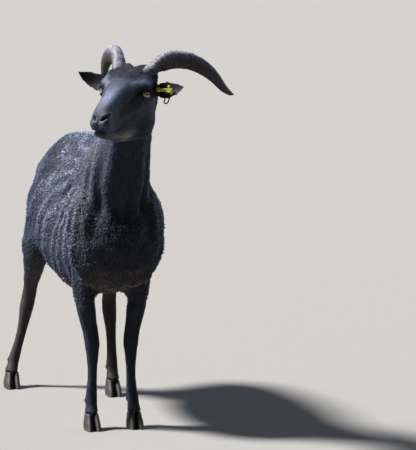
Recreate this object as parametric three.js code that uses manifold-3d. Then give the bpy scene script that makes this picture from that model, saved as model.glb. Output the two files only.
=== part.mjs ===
// A shorn, two-horned ewe of a small black hill breed, life size. She stands on four cloven feet,
// one hind leg forward and the other back, and looks round to her right with her head held high.
// Millimetres, +Z up. She faces -Y, so her left side is at +X.
import * as THREE from "three";
import { mergeVertices } from "three/addons/utils/BufferGeometryUtils.js";
import Module from "manifold-3d";

const wasm = await Module();
wasm.setup();

// ---------------------------------------------------------------- driving dimensions
const GAP = 0.3; // left between pieces that touch
const FLESH_COLOUR = 0x1a1b20;

// Across the trunk, from the breast to the rump:
// [y, centre z, half width, rise to the back, drop to the belly, roundness above, roundness below]
const TRUNK = [
  [-338, 428, 24, 28, 26, 2, 2],
  [-328, 428, 58, 64, 52, 2, 2],
  [-302, 428, 86, 104, 90, 2, 2],
  [-262, 430, 102, 142, 122, 2, 2.1],
  [-215, 432, 105, 178, 136, 1.8, 2.3],
  [-160, 434, 105, 198, 148, 1.65, 2.5],
  [-90, 434, 107, 199, 156, 1.65, 2.7],
  [0, 434, 111, 197, 157, 1.7, 2.6],
  [80, 432, 112, 189, 143, 1.75, 2.4],
  [150, 425, 107, 184, 112, 1.7, 2.2],
  [205, 417, 99, 182, 76, 1.65, 2],
  [255, 414, 91, 168, 50, 1.7, 2],
  [292, 424, 76, 134, 46, 1.8, 2],
  [314, 440, 54, 88, 48, 1.9, 2],
  [328, 456, 22, 38, 34, 2, 2],
];
const TRUNK_RINGS = { along: 18, round: 18 };

// Masses on each side of the trunk: [x, y, z], [radii]
const SHOULDER = [[54, -250, 442], [54, 70, 122]];
const THIGH = [[58, 208, 410], [43, 84, 96]];

// Up the neck: [x, y, z, half width, reach to the throat, reach to the nape, degrees turned]
const NECK = [
  [0, -168, 474, 92, 148, 158, 0],
  [0, -236, 546, 82, 106, 116, 0],
  [6, -300, 622, 60, 72, 74, -6],
  [13, -344, 690, 52, 58, 57, -20],
  [19, -373, 742, 50, 52, 52, -32],
  [20, -390, 780, 42, 42, 38, -36],
];
const NECK_RINGS = { along: 9, round: 16 };

const HEAD = {
  at: [-20, -440, 769], // midway between the eyes
  yaw: -35.7, // degrees, towards her right
  pitch: 6.8, // nose down
  roll: 2, // left side down
};
const EYE = { at: [42, 0, 0], radius: 14.5 }; // the left one, in the head's frame

// Along the head in its own frame, from the nape to the lips, columns as for the trunk
const SKULL = [
  [86, 4, 14, 12, 22, 2, 2],
  [78, 2, 34, 30, 50, 2, 2],
  [60, -4, 48, 47, 90, 2.2, 2],
  [34, -8, 52, 54, 105, 2.3, 1.8],
  [8, -8, 50, 52, 101, 2.4, 1.8],
  [-20, -8, 45, 45, 94, 2.4, 1.8],
  [-50, -9, 35, 37, 84, 2.3, 1.85],
  [-78, -11, 27, 29, 74, 2.2, 1.9],
  [-102, -14, 24, 24, 65, 2.2, 2],
  [-122, -19, 23, 22, 54, 2.2, 2.1],
  [-137, -25, 21, 19, 42, 2.1, 2.2],
  [-146, -31, 16, 14, 27, 2, 2.2],
  [-151, -34, 9, 7, 12, 2, 2],
];
const SKULL_RINGS = { along: 17, round: 16 };

// Forms that stand on the skull, one side: [x, y, z], [radii]
const BROW = [[42, 3, 15], [18, 28, 12]];
const JAW_MUSCLE = [[27, 34, -62], [26, 42, 46]];
const NOSTRIL_WING = [[13, -128, -18], [10.5, 19, 12]];
const LIP = [[12, -134, -37], [13, 19, 12]];

// The middle line of the left horn in the head's frame
const HORN_LINE = [
  [32, 38, 28],
  [37, 52, 38],
  [44, 72, 48],
  [58, 97, 53],
  [77, 122, 51],
  [97, 148, 40],
  [114, 171, 22],
  [127, 191, 1],
  [136, 208, -21],
  [143, 223, -40],
  [150, 238, -56],
];
const HORN_CURL = [88, 135, -40]; // the middle of the curl, which the flat inner side faces
const HORN_RINGS = { along: 15, round: 10 };
// [share of the length, half depth in the plane of the curl, half width across it]
const HORN_GIRTH = [
  [0, 17, 13],
  [0.18, 19.3, 13],
  [0.36, 19.3, 12.4],
  [0.52, 17, 11],
  [0.66, 13, 9.2],
  [0.78, 8.6, 7.4],
  [0.88, 5.8, 5.3],
  [0.96, 3.2, 3.2],
  [1, 2, 2],
];

// The middle line of the left ear, and how far each ear's tip is lifted from it
const EAR_LINE = [
  [44, 32, 3],
  [62, 36, 2],
  [84, 38, 4],
  [104, 36, 9],
  [122, 32, 16],
];
const EAR_LIFT = { left: 0, right: 12 };
const EAR_UP = [0, 0.25, 1]; // roughly the way across an ear, from its lower rim to its upper
const EAR_RINGS = { along: 7, round: 10 };
// [share of the length, half width, depth of the cup, half thickness]
const EAR_SHAPE = [
  [0, 12, 10, 4],
  [0.25, 18.5, 10, 3],
  [0.5, 20, 8, 2.4],
  [0.75, 14, 5, 2],
  [0.93, 5, 2, 1.5],
  [1, 1.2, 0.6, 0.8],
];

const CORONET = 36; // the height of the top of the hooves
// Down the middle of each leg, from inside the body to the hoof: [x, y, z]
const FRONT_LEG = [
  [56, -218, 420],
  [60, -214, 350],
  [60, -212, 300],
  [53, -211, 245],
  [44, -212, 198],
  [43, -214, 150],
  [44, -213, 96],
  [46, -214, 72],
  [48, -224, CORONET],
];
const HIND_RIGHT_LEG = [
  [-60, 215, 420],
  [-78, 192, 350],
  [-80, 226, 293],
  [-79, 262, 250],
  [-80, 283, 217],
  [-84, 287, 195],
  [-92, 293, 147],
  [-104, 300, 95],
  [-111, 302, 72],
  [-122, 292, CORONET],
];
const HIND_LEFT_LEG = [
  [60, 200, 420],
  [78, 158, 350],
  [82, 150, 295],
  [84, 168, 250],
  [85, 184, 218],
  [85, 186, 197],
  [86, 174, 147],
  [85, 160, 95],
  [85, 158, 72],
  [84, 146, CORONET],
];
// Round a leg at each height: [z, half width, reach forwards, reach back]
const FRONT_GIRTH = [
  [CORONET, 17, 20, 17],
  [52, 13, 13.5, 13],
  [72, 14.5, 13, 17],
  [94, 11.5, 12, 13],
  [134, 11.3, 12.2, 13],
  [161, 14, 13.5, 14],
  [184, 18, 17, 16.5],
  [205, 18.5, 18, 17],
  [230, 19.5, 20, 21],
  [260, 22, 27, 30],
  [300, 26, 37, 43],
  [350, 30, 45, 50],
  [420, 26, 45, 45],
];
const HIND_GIRTH = [
  [CORONET, 17, 20, 17],
  [52, 13, 13.5, 13],
  [72, 14.5, 13, 17],
  [94, 11.5, 12.5, 13],
  [147, 12.6, 14, 14],
  [175, 16.5, 18, 19],
  [198, 18.5, 21, 23],
  [217, 17, 18, 25],
  [235, 16.5, 19, 24],
  [255, 20, 26, 27],
  [293, 28, 43, 41],
  [350, 36, 64, 72],
  [420, 38, 72, 88],
];
const LEG_RINGS = { along: 15, round: 10, crowding: 1.25 }; // closer together near the hoof

const HOOF = { toe: 32, heel: 20, wide: 18, split: 1.4, lean: 7 }; // of one claw, at the ground
const HOOF_TOP = { toe: 0.65, heel: 0.9, wide: 0.92 }; // of what they are at the ground
const DEWCLAW = { out: 8, back: 15, up: 62, radii: [5.5, 5.5, 9] };
const UDDER = [[0, 192, 335], [30, 33, 30]];
const TEAT = { out: 15, y: 190, z: 303, radii: [5.5, 5.5, 14] };

const TAIL_LINE = [
  [0, 284, 537],
  [0, 314, 531],
  [0, 339, 511],
  [0, 349, 472],
  [0, 350, 430],
  [0, 344, 392],
];
const TAIL_HALF = { root: 19, tip: 7, flat: 0.68 };
const TAIL_RINGS = { along: 9, round: 10 };

// The tags in the left ear, in the head's frame: a strip pinned through it, and a loop round its
// edge that hangs turned and leaning
const TAG_STRIP = { at: [77, 35.5, 3.5], long: 34, thick: 1.8, tall: 8, knob: [5, 2, 5] };
const TAG_BLOCK = { size: [10, 3.4, 10.5], stub: [5, 3.4, 7], stubUp: 7.5 };
const TAG_PIN = { along: -9, radius: 1.7, reach: 16, plate: [15, 1.8, 9] };
const TAG_LOOP = { at: [80, 41.5, -14.5], wide: 12, tall: 27, wire: 1.5, turn: 40, lean: 20 };

// Where the body is parted, in turn. A piece is all that lies within a drum that starts at a
// point, faces a direction and has a radius, in the frame of the body or of the head.
const LEG_CUTS = {
  front_right: [[-44, -212, 168], [-58, -212, 280]],
  front_left: [[44, -212, 168], [58, -212, 280]],
  hind_right: [[-88, 289, 172], [-82, 256, 272]],
  hind_left: [[85, 181, 172], [83, 158, 272]],
};
const DOWN = [0, 0, -1];
const PARTINGS = [
  { name: "ear_left", at: [62, 40, 6], facing: [1, 0, 0.1], radius: 45, inHead: true },
  { name: "ear_right", at: [-62, 40, 8], facing: [-1, 0, 0.15], radius: 45, inHead: true },
  { name: "head", at: [0, 60, -54], facing: [0, -0.93, 0.37], radius: 150, inHead: true },
  { name: "neck", at: [0, -262, 546], facing: [0, -0.76, 0.65], radius: 170 },
  { name: "tail", at: [0, 332, 470], facing: [0, 1, 0], radius: 110 },
  { name: "udder", at: [0, 192, 330.5], facing: [0, 0.42, -0.9], radius: 33 },
  ...Object.entries(LEG_CUTS).flatMap(([leg, [ankle, elbow]]) => [
    { name: "foot_" + leg, at: ankle, facing: DOWN, radius: 60 },
    { name: "leg_" + leg, at: elbow, facing: DOWN, radius: 60 },
  ]),
];
const REACH = 400; // how far a drum goes

// ---------------------------------------------------------------- shapes
const radians = THREE.MathUtils.degToRad;
const { lerp } = THREE.MathUtils;
const vector = (at) => new THREE.Vector3(...at);
const X = vector([1, 0, 0]);
const Y = vector([0, 1, 0]);
const Z = vector([0, 0, 1]);

// Reads a table of rows at any place between them, along a smooth curve through every column.
function readTable(table, place) {
  let i = 0;
  while (i < table.length - 2 && place > table[i + 1][0]) i += 1;
  const [from, to] = [table[i], table[i + 1]];
  const [before, after] = [table[i - 1] ?? from, table[i + 2] ?? to];
  const width = to[0] - from[0];
  const t = (place - from[0]) / width;
  const slope = (a, b, k) => (b[0] === a[0] ? 0 : (b[k] - a[k]) / (b[0] - a[0]));
  return from.map((value, k) => {
    const start = slope(before, to, k) * width;
    const end = slope(from, after, k) * width;
    return (
      value * (1 + 2 * t) * (1 - t) ** 2 +
      start * t * (1 - t) ** 2 +
      to[k] * t * t * (3 - 2 * t) +
      end * t * t * (t - 1)
    );
  });
}

// Places from one end of a table to the other, closer together at the two ends.
function placesAlong(table, steps) {
  const [from, to] = [table[0][0], table.at(-1)[0]];
  return Array.from({ length: steps + 1 }, (_, i) => {
    const even = i / steps;
    const eased = 0.5 - 0.5 * Math.cos(even * Math.PI);
    return lerp(from, to, lerp(even, eased, 0.55));
  });
}

// The points round a section: `across` and `up` are unit vectors, and each reach is from the
// centre. A roundness of 2 gives an ellipse, less gives a ridge and more a box.
function section(centre, across, up, half, rise, drop, roundAbove, roundBelow, sides) {
  return Array.from({ length: sides }, (_, i) => {
    const angle = (i / sides) * 2 * Math.PI;
    const [c, s] = [Math.cos(angle), Math.sin(angle)];
    const power = 2 / (s > 0 ? roundAbove : roundBelow);
    const x = half * Math.sign(c) * Math.abs(c) ** power;
    const z = (s > 0 ? rise : drop) * Math.sign(s) * Math.abs(s) ** power;
    return centre.clone().addScaledVector(across, x).addScaledVector(up, z);
  });
}

// A closed mesh through a row of rings that have the same number of points.
function skinOver(rings) {
  const sides = rings[0].length;
  const middle = (ring) => ring.reduce((sum, p) => sum.add(p), vector([0, 0, 0])).divideScalar(sides);
  const points = [...rings.flat(), middle(rings[0]), middle(rings.at(-1))];
  const [firstCap, lastCap] = [points.length - 2, points.length - 1];
  const lastRing = (rings.length - 1) * sides;
  const index = [];
  for (let i = 0; i < sides; i += 1) {
    const j = (i + 1) % sides;
    for (let row = 0; row < lastRing; row += sides) {
      index.push(row + i, row + j, row + sides + j, row + i, row + sides + j, row + sides + i);
    }
    index.push(firstCap, j, i, lastCap, lastRing + i, lastRing + j);
  }
  return new THREE.BufferGeometry().setFromPoints(points).setIndex(index);
}

// A geometry as a solid, wherever `matrix` puts it, whichever way its faces turn.
function solidOf(geometry, matrix = new THREE.Matrix4()) {
  const moved = geometry.clone().applyMatrix4(matrix);
  moved.deleteAttribute("normal");
  moved.deleteAttribute("uv");
  const merged = mergeVertices(moved, 1e-4);
  const vertProperties = merged.attributes.position.array;
  const triVerts = new Uint32Array(merged.index.array);
  const made = new wasm.Manifold(new wasm.Mesh({ numProp: 3, vertProperties, triVerts }));
  if (made.volume() > 0) return made;
  for (let i = 0; i < triVerts.length; i += 3) {
    [triVerts[i + 1], triVerts[i + 2]] = [triVerts[i + 2], triVerts[i + 1]];
  }
  return new wasm.Manifold(new wasm.Mesh({ numProp: 3, vertProperties, triVerts }));
}

function geometryOf(solid) {
  const mesh = solid.getMesh();
  const geometry = new THREE.BufferGeometry();
  geometry.setAttribute("position", new THREE.BufferAttribute(new Float32Array(mesh.vertProperties), 3));
  geometry.setIndex(new THREE.BufferAttribute(new Uint32Array(mesh.triVerts), 1));
  return geometry;
}

const joined = (solids) => solids.reduce((whole, next) => whole.add(next));

function ball([x, y, z], [rx, ry, rz], sides = 10) {
  const geometry = new THREE.SphereGeometry(1, sides, Math.round(sides * 0.6));
  return geometry.rotateX(Math.PI / 2).scale(rx, ry, rz).translate(x, y, z);
}

// A form made for the left side and for the right: `side` is 1 on the left.
const bothSides = (make) => [make(1), make(-1)];
const sided = ([x, y, z], side) => [side * x, y, z];

// ---------------------------------------------------------------- the body
function trunkSolid() {
  const rings = placesAlong(TRUNK, TRUNK_RINGS.along).map((place) => {
    const [y, z, ...shape] = readTable(TRUNK, place);
    return section(vector([0, y, z]), X, Z, ...shape, TRUNK_RINGS.round);
  });
  const masses = [SHOULDER, THIGH].flatMap(([at, radii]) =>
    bothSides((side) => solidOf(ball(sided(at, side), radii, 11))),
  );
  return joined([solidOf(skinOver(rings)), ...masses]);
}

function neckSolid() {
  const line = new THREE.CatmullRomCurve3(NECK.map((row) => vector(row.slice(0, 3))));
  const rows = NECK.map((row, k) => [k / (NECK.length - 1), ...row.slice(3)]);
  const rings = Array.from({ length: NECK_RINGS.along + 1 }, (_, i) => {
    const t = i / NECK_RINGS.along;
    const [, half, throat, nape, turn] = readTable(rows, t);
    const across = vector([Math.cos(radians(turn)), Math.sin(radians(turn)), 0]);
    const napeward = line.getTangent(t).cross(across).normalize();
    return section(line.getPoint(t), across, napeward, half, nape, throat, 2, 2.1, NECK_RINGS.round);
  });
  return solidOf(skinOver(rings));
}

const headFrame = new THREE.Matrix4()
  .makeRotationFromEuler(new THREE.Euler(radians(HEAD.pitch), radians(HEAD.roll), radians(HEAD.yaw), "ZXY"))
  .setPosition(...HEAD.at);

function skullSolid() {
  const table = [...SKULL].reverse();
  const rings = placesAlong(table, SKULL_RINGS.along).map((place) => {
    const [y, z, ...shape] = readTable(table, place);
    return section(vector([0, y, z]), X, Z, ...shape, SKULL_RINGS.round);
  });
  const forms = [BROW, JAW_MUSCLE, NOSTRIL_WING, LIP].flatMap(([at, radii]) =>
    bothSides((side) => solidOf(ball(sided(at, side), radii, 9), headFrame)),
  );
  return joined([solidOf(skinOver(rings), headFrame), ...forms]);
}

// A leg from its middle line and its girths, in level sections.
function legSolid(joints, girths) {
  const line = [...joints].reverse().map(([x, y, z]) => [z, x, y]);
  const [low, high] = [girths[0][0], girths.at(-1)[0]];
  const rings = [];
  for (let i = 0; i <= LEG_RINGS.along; i += 1) {
    const height = low + (high - low) * (i / LEG_RINGS.along) ** LEG_RINGS.crowding;
    const [, half, forward, backward] = readTable(girths, height);
    const [z, x, y] = readTable(line, height);
    rings.push(section(vector([x, y, z]), X, Y, half, backward, forward, 2, 2, LEG_RINGS.round));
  }
  return solidOf(skinOver(rings));
}

function earSolid(side, lift) {
  const along = EAR_LINE.map(([x, y, z], i) => [x, y, z + (lift * i) / (EAR_LINE.length - 1)]);
  const line = new THREE.CatmullRomCurve3(along.map((at) => vector(sided(at, side))));
  const spread = EAR_RINGS.round / 2;
  const rings = [];
  for (let i = 0; i <= EAR_RINGS.along; i += 1) {
    const t = i / EAR_RINGS.along;
    const [, half, cup, thick] = readTable(EAR_SHAPE, t);
    const tangent = line.getTangent(t);
    const wide = vector(EAR_UP).addScaledVector(tangent, -tangent.z).normalize();
    const hollowWay = wide.clone().cross(tangent).normalize().multiplyScalar(side);
    const rim = [];
    for (const face of [1, -1]) {
      for (let k = 0; k < spread; k += 1) {
        const a = face * (1 - (2 * k) / spread);
        const hollow = cup * (1 - a * a) + face * thick * (1 - 0.6 * a * a);
        rim.push(line.getPoint(t).addScaledVector(wide, a * half).addScaledVector(hollowWay, hollow));
      }
    }
    rings.push(rim);
  }
  return solidOf(skinOver(rings), headFrame);
}

function hornSolid(side, grow = 0) {
  const line = new THREE.CatmullRomCurve3(HORN_LINE.map((at) => vector(sided(at, side))));
  const curl = vector(sided(HORN_CURL, side));
  const rings = Array.from({ length: HORN_RINGS.along + 1 }, (_, i) => {
    const t = i / HORN_RINGS.along;
    const [, deep, wide] = readTable(HORN_GIRTH, t).map((value) => value + grow);
    const [at, along] = [line.getPoint(t), line.getTangent(t)];
    const outward = at.clone().sub(curl);
    outward.addScaledVector(along, -outward.dot(along)).normalize();
    const across = along.clone().cross(outward);
    return section(at, across, outward, wide, deep, deep, 2.2, 2.6, HORN_RINGS.round);
  });
  return solidOf(skinOver(rings), headFrame);
}

function eyeSolid(side, grow = 0) {
  const radius = EYE.radius + grow;
  return solidOf(ball(sided(EYE.at, side), [radius, radius, radius]), headFrame);
}

function tailSolid() {
  const line = new THREE.CatmullRomCurve3(TAIL_LINE.map(vector));
  const rings = Array.from({ length: TAIL_RINGS.along + 1 }, (_, i) => {
    const t = i / TAIL_RINGS.along;
    const half = lerp(TAIL_HALF.root, TAIL_HALF.tip, t) * (t === 1 ? 0.5 : 1);
    const up = line.getTangent(t).cross(X);
    const thick = half * TAIL_HALF.flat;
    return section(line.getPoint(t), X, up, half, thick, thick, 2, 2, TAIL_RINGS.round);
  });
  return solidOf(skinOver(rings));
}

function udderSolid() {
  const teats = bothSides((side) => solidOf(ball([side * TEAT.out, TEAT.y, TEAT.z], TEAT.radii, 6)));
  return joined([solidOf(ball(...UDDER)), ...teats]);
}

// One of the two halves of a hoof, flat below and leaning forwards to the toe.
function clawSolid([x, y], side) {
  const rings = [0, 0.4, 1].map((t) => {
    const [toe, heel, wide] = ["toe", "heel", "wide"].map((key) => {
      return HOOF[key] * lerp(1, HOOF_TOP[key], t);
    });
    const centre = [x + (side * (HOOF.split + wide)) / 2, y - HOOF.lean * (1 - t), t * (CORONET - GAP)];
    return section(vector(centre), X, Y, wide / 2, heel, toe, 2.6, 2, 10);
  });
  return solidOf(skinOver(rings));
}

function dewclawSolid(joints, side, grow = 0) {
  const line = [...joints].reverse().map(([x, y, z]) => [z, x, y]);
  const [z, x, y] = readTable(line, DEWCLAW.up);
  const radii = DEWCLAW.radii.map((radius) => radius + grow);
  return solidOf(ball([x + side * DEWCLAW.out, y + DEWCLAW.back, z], radii, 6));
}

// A strip in front of the ear, with a knob at one end and a block with a stub at the other, and a
// pin through the ear to a plate behind it.
function tagStripSolid() {
  const [x, y, z] = TAG_STRIP.at;
  const half = TAG_STRIP.long / 2;
  const box = (size, at) => solidOf(new THREE.BoxGeometry(...size).translate(...at), headFrame);
  const blockAt = x + half - TAG_BLOCK.size[0] / 2;
  return joined([
    box([TAG_STRIP.long, TAG_STRIP.thick, TAG_STRIP.tall], TAG_STRIP.at),
    solidOf(ball([x - half + 2, y, z], TAG_STRIP.knob), headFrame),
    box(TAG_BLOCK.size, [blockAt, y, z]),
    box(TAG_BLOCK.stub, [blockAt - 2.5, y, z + TAG_BLOCK.stubUp]),
    tagPinSolid(),
    box(TAG_PIN.plate, [x + TAG_PIN.along, y + TAG_PIN.reach, z]),
  ]);
}

function tagPinSolid(grow = 0) {
  const [x, y, z] = TAG_STRIP.at;
  const pin = new THREE.CylinderGeometry(TAG_PIN.radius + grow, TAG_PIN.radius + grow, TAG_PIN.reach, 8);
  return solidOf(pin.translate(x + TAG_PIN.along, y + TAG_PIN.reach / 2, z), headFrame);
}

function tagLoopSolid(grow = 0) {
  const { at, wide, tall, wire, turn, lean } = TAG_LOOP;
  const round = wide / 2;
  const rim = Array.from({ length: 12 }, (_, i) => {
    const angle = ((i + 0.5) / 12) * 2 * Math.PI;
    const [c, s] = [Math.cos(angle), Math.sin(angle)];
    return vector([round * c, 0, round * s + Math.sign(s) * (tall / 2 - round)]);
  });
  const ring = new THREE.TubeGeometry(new THREE.CatmullRomCurve3(rim, true), 16, wire + grow, 5, true);
  ring.rotateZ(radians(turn)).rotateY(radians(lean)).translate(...at);
  return solidOf(ring, headFrame);
}

// ---------------------------------------------------------------- putting her together
// The drum that starts at a point and faces a direction.
function drum({ at, facing, radius, inHead }, grow) {
  const along = vector(facing).normalize();
  const turn = new THREE.Quaternion().setFromUnitVectors(Y, along);
  const long = REACH + grow;
  const middle = vector(at).addScaledVector(along, long / 2 - grow);
  const place = new THREE.Matrix4().compose(middle, turn, vector([1, 1, 1]));
  if (inHead) place.premultiply(headFrame);
  return solidOf(new THREE.CylinderGeometry(radius + grow, radius + grow, long, 24), place);
}

const sheep = new THREE.Group();
function add(name, solid, colour, roughness = 0.9) {
  const material = new THREE.MeshStandardMaterial({ color: colour, roughness });
  const mesh = new THREE.Mesh(geometryOf(solid), material);
  mesh.name = name;
  sheep.add(mesh);
}

const legs = {
  front_right: [FRONT_LEG.map((at) => sided(at, -1)), FRONT_GIRTH],
  front_left: [FRONT_LEG, FRONT_GIRTH],
  hind_right: [HIND_RIGHT_LEG, HIND_GIRTH],
  hind_left: [HIND_LEFT_LEG, HIND_GIRTH],
};
const flesh = joined([
  trunkSolid(),
  neckSolid(),
  skullSolid(),
  ...Object.values(legs).map(([joints, girths]) => legSolid(joints, girths)),
  tailSolid(),
  earSolid(1, EAR_LIFT.left),
  earSolid(-1, EAR_LIFT.right),
  udderSolid(),
]);
const room = joined([
  ...bothSides((side) => hornSolid(side, GAP)),
  ...bothSides((side) => eyeSolid(side, GAP)),
  ...Object.values(legs).flatMap(([joints]) => bothSides((side) => dewclawSolid(joints, side, GAP))),
  tagPinSolid(GAP),
  tagLoopSolid(GAP),
]);
let rest = flesh.subtract(room);
for (const parting of PARTINGS) {
  add(parting.name, rest.intersect(drum(parting, 0)), FLESH_COLOUR);
  rest = rest.subtract(drum(parting, GAP));
}
add("trunk", rest, FLESH_COLOUR);

for (const side of [1, -1]) {
  const hand = side > 0 ? "left" : "right";
  add("horn_" + hand, hornSolid(side), 0x75707a, 0.5);
  add("eye_" + hand, eyeSolid(side), 0xa8742a, 0.1);
}
for (const [leg, [joints]] of Object.entries(legs)) {
  for (const side of [1, -1]) {
    const claw = side > 0 ? "_claw_left" : "_claw_right";
    add(leg + claw, clawSolid(joints.at(-1), side), 0x26221f, 0.5);
    add(leg + "_dew" + claw.slice(1), dewclawSolid(joints, side), 0x26221f, 0.5);
  }
}
add("ear_tag_strip", tagStripSolid(), 0xd8dd2a, 0.4);
add("ear_tag_loop", tagLoopSolid(), 0x101012, 0.4);

const bounds = new THREE.Box3().setFromObject(sheep);
const middle = bounds.getCenter(vector([0, 0, 0]));
sheep.position.set(-middle.x, -middle.y, -bounds.min.z);

export default sheep;
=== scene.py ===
# A grown ewe of a small black hill breed, shorn and two-horned, as a life-size museum model. She
# stands and looks round to her right. Metres, +Z up: she faces -Y and her left side is at +X.
import math

import bmesh
import bpy
import numpy as np
from mathutils import Matrix, Vector
from mathutils.bvhtree import BVHTree
from mathutils.kdtree import KDTree


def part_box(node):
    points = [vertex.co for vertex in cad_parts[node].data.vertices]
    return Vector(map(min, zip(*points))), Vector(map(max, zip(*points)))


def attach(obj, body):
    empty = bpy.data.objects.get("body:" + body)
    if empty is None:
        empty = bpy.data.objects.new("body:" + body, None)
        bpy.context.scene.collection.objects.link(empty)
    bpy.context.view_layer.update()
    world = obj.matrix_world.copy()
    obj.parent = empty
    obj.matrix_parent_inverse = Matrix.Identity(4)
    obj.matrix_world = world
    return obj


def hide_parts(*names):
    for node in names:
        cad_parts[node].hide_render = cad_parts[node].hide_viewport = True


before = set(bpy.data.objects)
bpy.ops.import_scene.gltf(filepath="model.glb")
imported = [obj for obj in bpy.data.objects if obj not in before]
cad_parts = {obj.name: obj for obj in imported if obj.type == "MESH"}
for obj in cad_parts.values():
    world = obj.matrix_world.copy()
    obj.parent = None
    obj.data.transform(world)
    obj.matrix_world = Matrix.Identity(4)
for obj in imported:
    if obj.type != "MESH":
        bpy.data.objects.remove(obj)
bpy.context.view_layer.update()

# ---------------------------------------------------------------- the viewpoint
# She is seen from ten metres off, a little to her right and from just above her back, through a
# long lens, with her front feet low and at the left of the picture.
LEGS = ("front_right", "front_left", "hind_right", "hind_left")
VIEW_TURN, VIEW_RISE = math.radians(-14), math.radians(9)
VIEW_DISTANCE = 10.0
BESIDE, ABOVE = 0.211, 0.444  # from her front ankles to the middle of the picture
PICTURE_WIDTH = 0.914  # of the picture at her front ankles, in metres
ANKLES_BACK = 0.019  # from the middle of her front hooves

front_hooves = [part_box(f"{leg}_claw_{half}") for leg in LEGS[:2] for half in ("left", "right")]
low = Vector(map(min, *(box[0] for box in front_hooves)))
high = Vector(map(max, *(box[1] for box in front_hooves)))
ankles = Vector(((low.x + high.x) / 2, (low.y + high.y) / 2 + ANKLES_BACK, 0))

flat = math.cos(VIEW_RISE)
towards_viewer = Vector((math.sin(VIEW_TURN) * flat, -math.cos(VIEW_TURN) * flat, math.sin(VIEW_RISE)))
rightwards = Vector((math.cos(VIEW_TURN), math.sin(VIEW_TURN), 0))
upwards = rightwards.cross(-towards_viewer)


def placed(name, data):
    """A new object in the scene with this camera, lamp or mesh."""
    made = bpy.data.objects.new(name, data)
    bpy.context.scene.collection.objects.link(made)
    return made


camera = placed("camera", bpy.data.cameras.new("camera"))
camera.location = ankles + towards_viewer * VIEW_DISTANCE + rightwards * BESIDE + upwards * ABOVE
camera.rotation_euler = (-towards_viewer).to_track_quat("-Z", "Y").to_euler()
camera.data.sensor_fit = "HORIZONTAL"
camera.data.lens = camera.data.sensor_width * VIEW_DISTANCE / PICTURE_WIDTH
bpy.context.scene.camera = camera

# ---------------------------------------------------------------- the studio
# A matt grey floor that runs out of sight. The warm key lamp is high on her right and a little
# behind her; a weak, cool and very broad fill lamp is behind her left, in a dim blue room.
FLOOR_HALF = 60.0
FLOOR_GREY = (0.145, 0.142, 0.136)


def material(name, colour, roughness, **sockets):
    """A material whose shader has these fixed values; returns its nodes, links and shader too."""
    made = bpy.data.materials.new(name)
    made.use_nodes = True
    nodes, links = made.node_tree.nodes, made.node_tree.links
    shader = nodes["Principled BSDF"]
    shader.inputs["Base Color"].default_value = (*colour, 1)
    shader.inputs["Roughness"].default_value = roughness
    for socket, value in sockets.items():
        shader.inputs[socket.replace("_", " ")].default_value = value
    return made, nodes, links, shader


def mesh_object(name, points, faces, smooth=True):
    """A new object with this mesh."""
    mesh = bpy.data.meshes.new(name)
    mesh.from_pydata([tuple(p) for p in points], [], [tuple(f) for f in faces])
    if smooth:
        mesh.shade_smooth()
    return placed(name, mesh)


floor_corners = [(x * FLOOR_HALF, y * FLOOR_HALF, 0) for x, y in ((-1, -1), (1, -1), (1, 1), (-1, 1))]
floor = mesh_object("floor", floor_corners, [(0, 1, 2, 3)], smooth=False)
floor.data.materials.append(material("pale_floor", FLOOR_GREY, 0.9)[0])


def lamp(name, turn, rise, energy, spread, colour):
    """A far lamp: its turn from straight before her, its rise and its spread are in degrees."""
    made = placed(name, bpy.data.lights.new(name, "SUN"))
    made.data.energy = energy
    made.data.angle = math.radians(spread)
    made.data.color = colour
    turn, rise = math.radians(turn), math.radians(rise)
    way = Vector((math.sin(turn) * math.cos(rise), -math.cos(turn) * math.cos(rise), math.sin(rise)))
    made.rotation_euler = (-way).to_track_quat("-Z", "Y").to_euler()


lamp("key_lamp", turn=-108, rise=50, energy=15.5, spread=9, colour=(1.0, 0.97, 0.93))
lamp("fill_lamp", turn=118, rise=28, energy=1.7, spread=50, colour=(0.66, 0.8, 1.0))

room = bpy.data.worlds.new("room")
room.use_nodes = True
room.node_tree.nodes["Background"].inputs["Color"].default_value = (0.78, 0.86, 1.0, 1)
room.node_tree.nodes["Background"].inputs["Strength"].default_value = 0.06
bpy.context.scene.world = room
bpy.context.scene.view_settings.view_transform = "Standard"

# ---------------------------------------------------------------- the head's own frame
# The head is turned, so its parts are placed in millimetres from the middle of the eyes: x to her
# left, y towards the nape, z up through the poll.
HEAD_PITCH = math.radians(6.8)
eye_boxes = {side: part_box("eye_" + side) for side in ("left", "right")}
eye_middles = {side: (low + high) / 2 for side, (low, high) in eye_boxes.items()}
head_middle = (eye_middles["left"] + eye_middles["right"]) / 2
head_left = (eye_middles["left"] - eye_middles["right"]).normalized()
head_yaw = math.atan2(head_left.y, head_left.x)
head_back = Vector((-math.sin(head_yaw) * math.cos(HEAD_PITCH), math.cos(head_yaw) * math.cos(HEAD_PITCH),
                    math.sin(HEAD_PITCH)))
head_back = (head_back - head_left * head_back.dot(head_left)).normalized()
head_axes = np.array([head_left, head_back, head_left.cross(head_back)])


def in_head(points):
    """World places as millimetres in the head's frame."""
    return (np.asarray(points, float) - np.array(head_middle)) @ head_axes.T * 1000


def from_head(points):
    """Millimetres in the head's frame as world places."""
    return np.asarray(points, float) / 1000 @ head_axes + np.array(head_middle)


def smooth_step(values, start, end):
    """0 before start, 1 after end and a smooth rise between."""
    t = np.clip((np.asarray(values, float) - start) / (end - start), 0, 1)
    return t * t * (3 - 2 * t)


def unit(vectors):
    """Vectors at length one."""
    return vectors / np.maximum(np.linalg.norm(vectors, axis=-1, keepdims=True), 1e-12)


def rows_of(items, name, width, kind=np.float32):
    """One property of all the corners, edges or faces of a mesh, as rows this wide."""
    found = np.empty(len(items) * width, kind)
    items.foreach_get(name, found)
    return found.reshape(-1, width)


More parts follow.
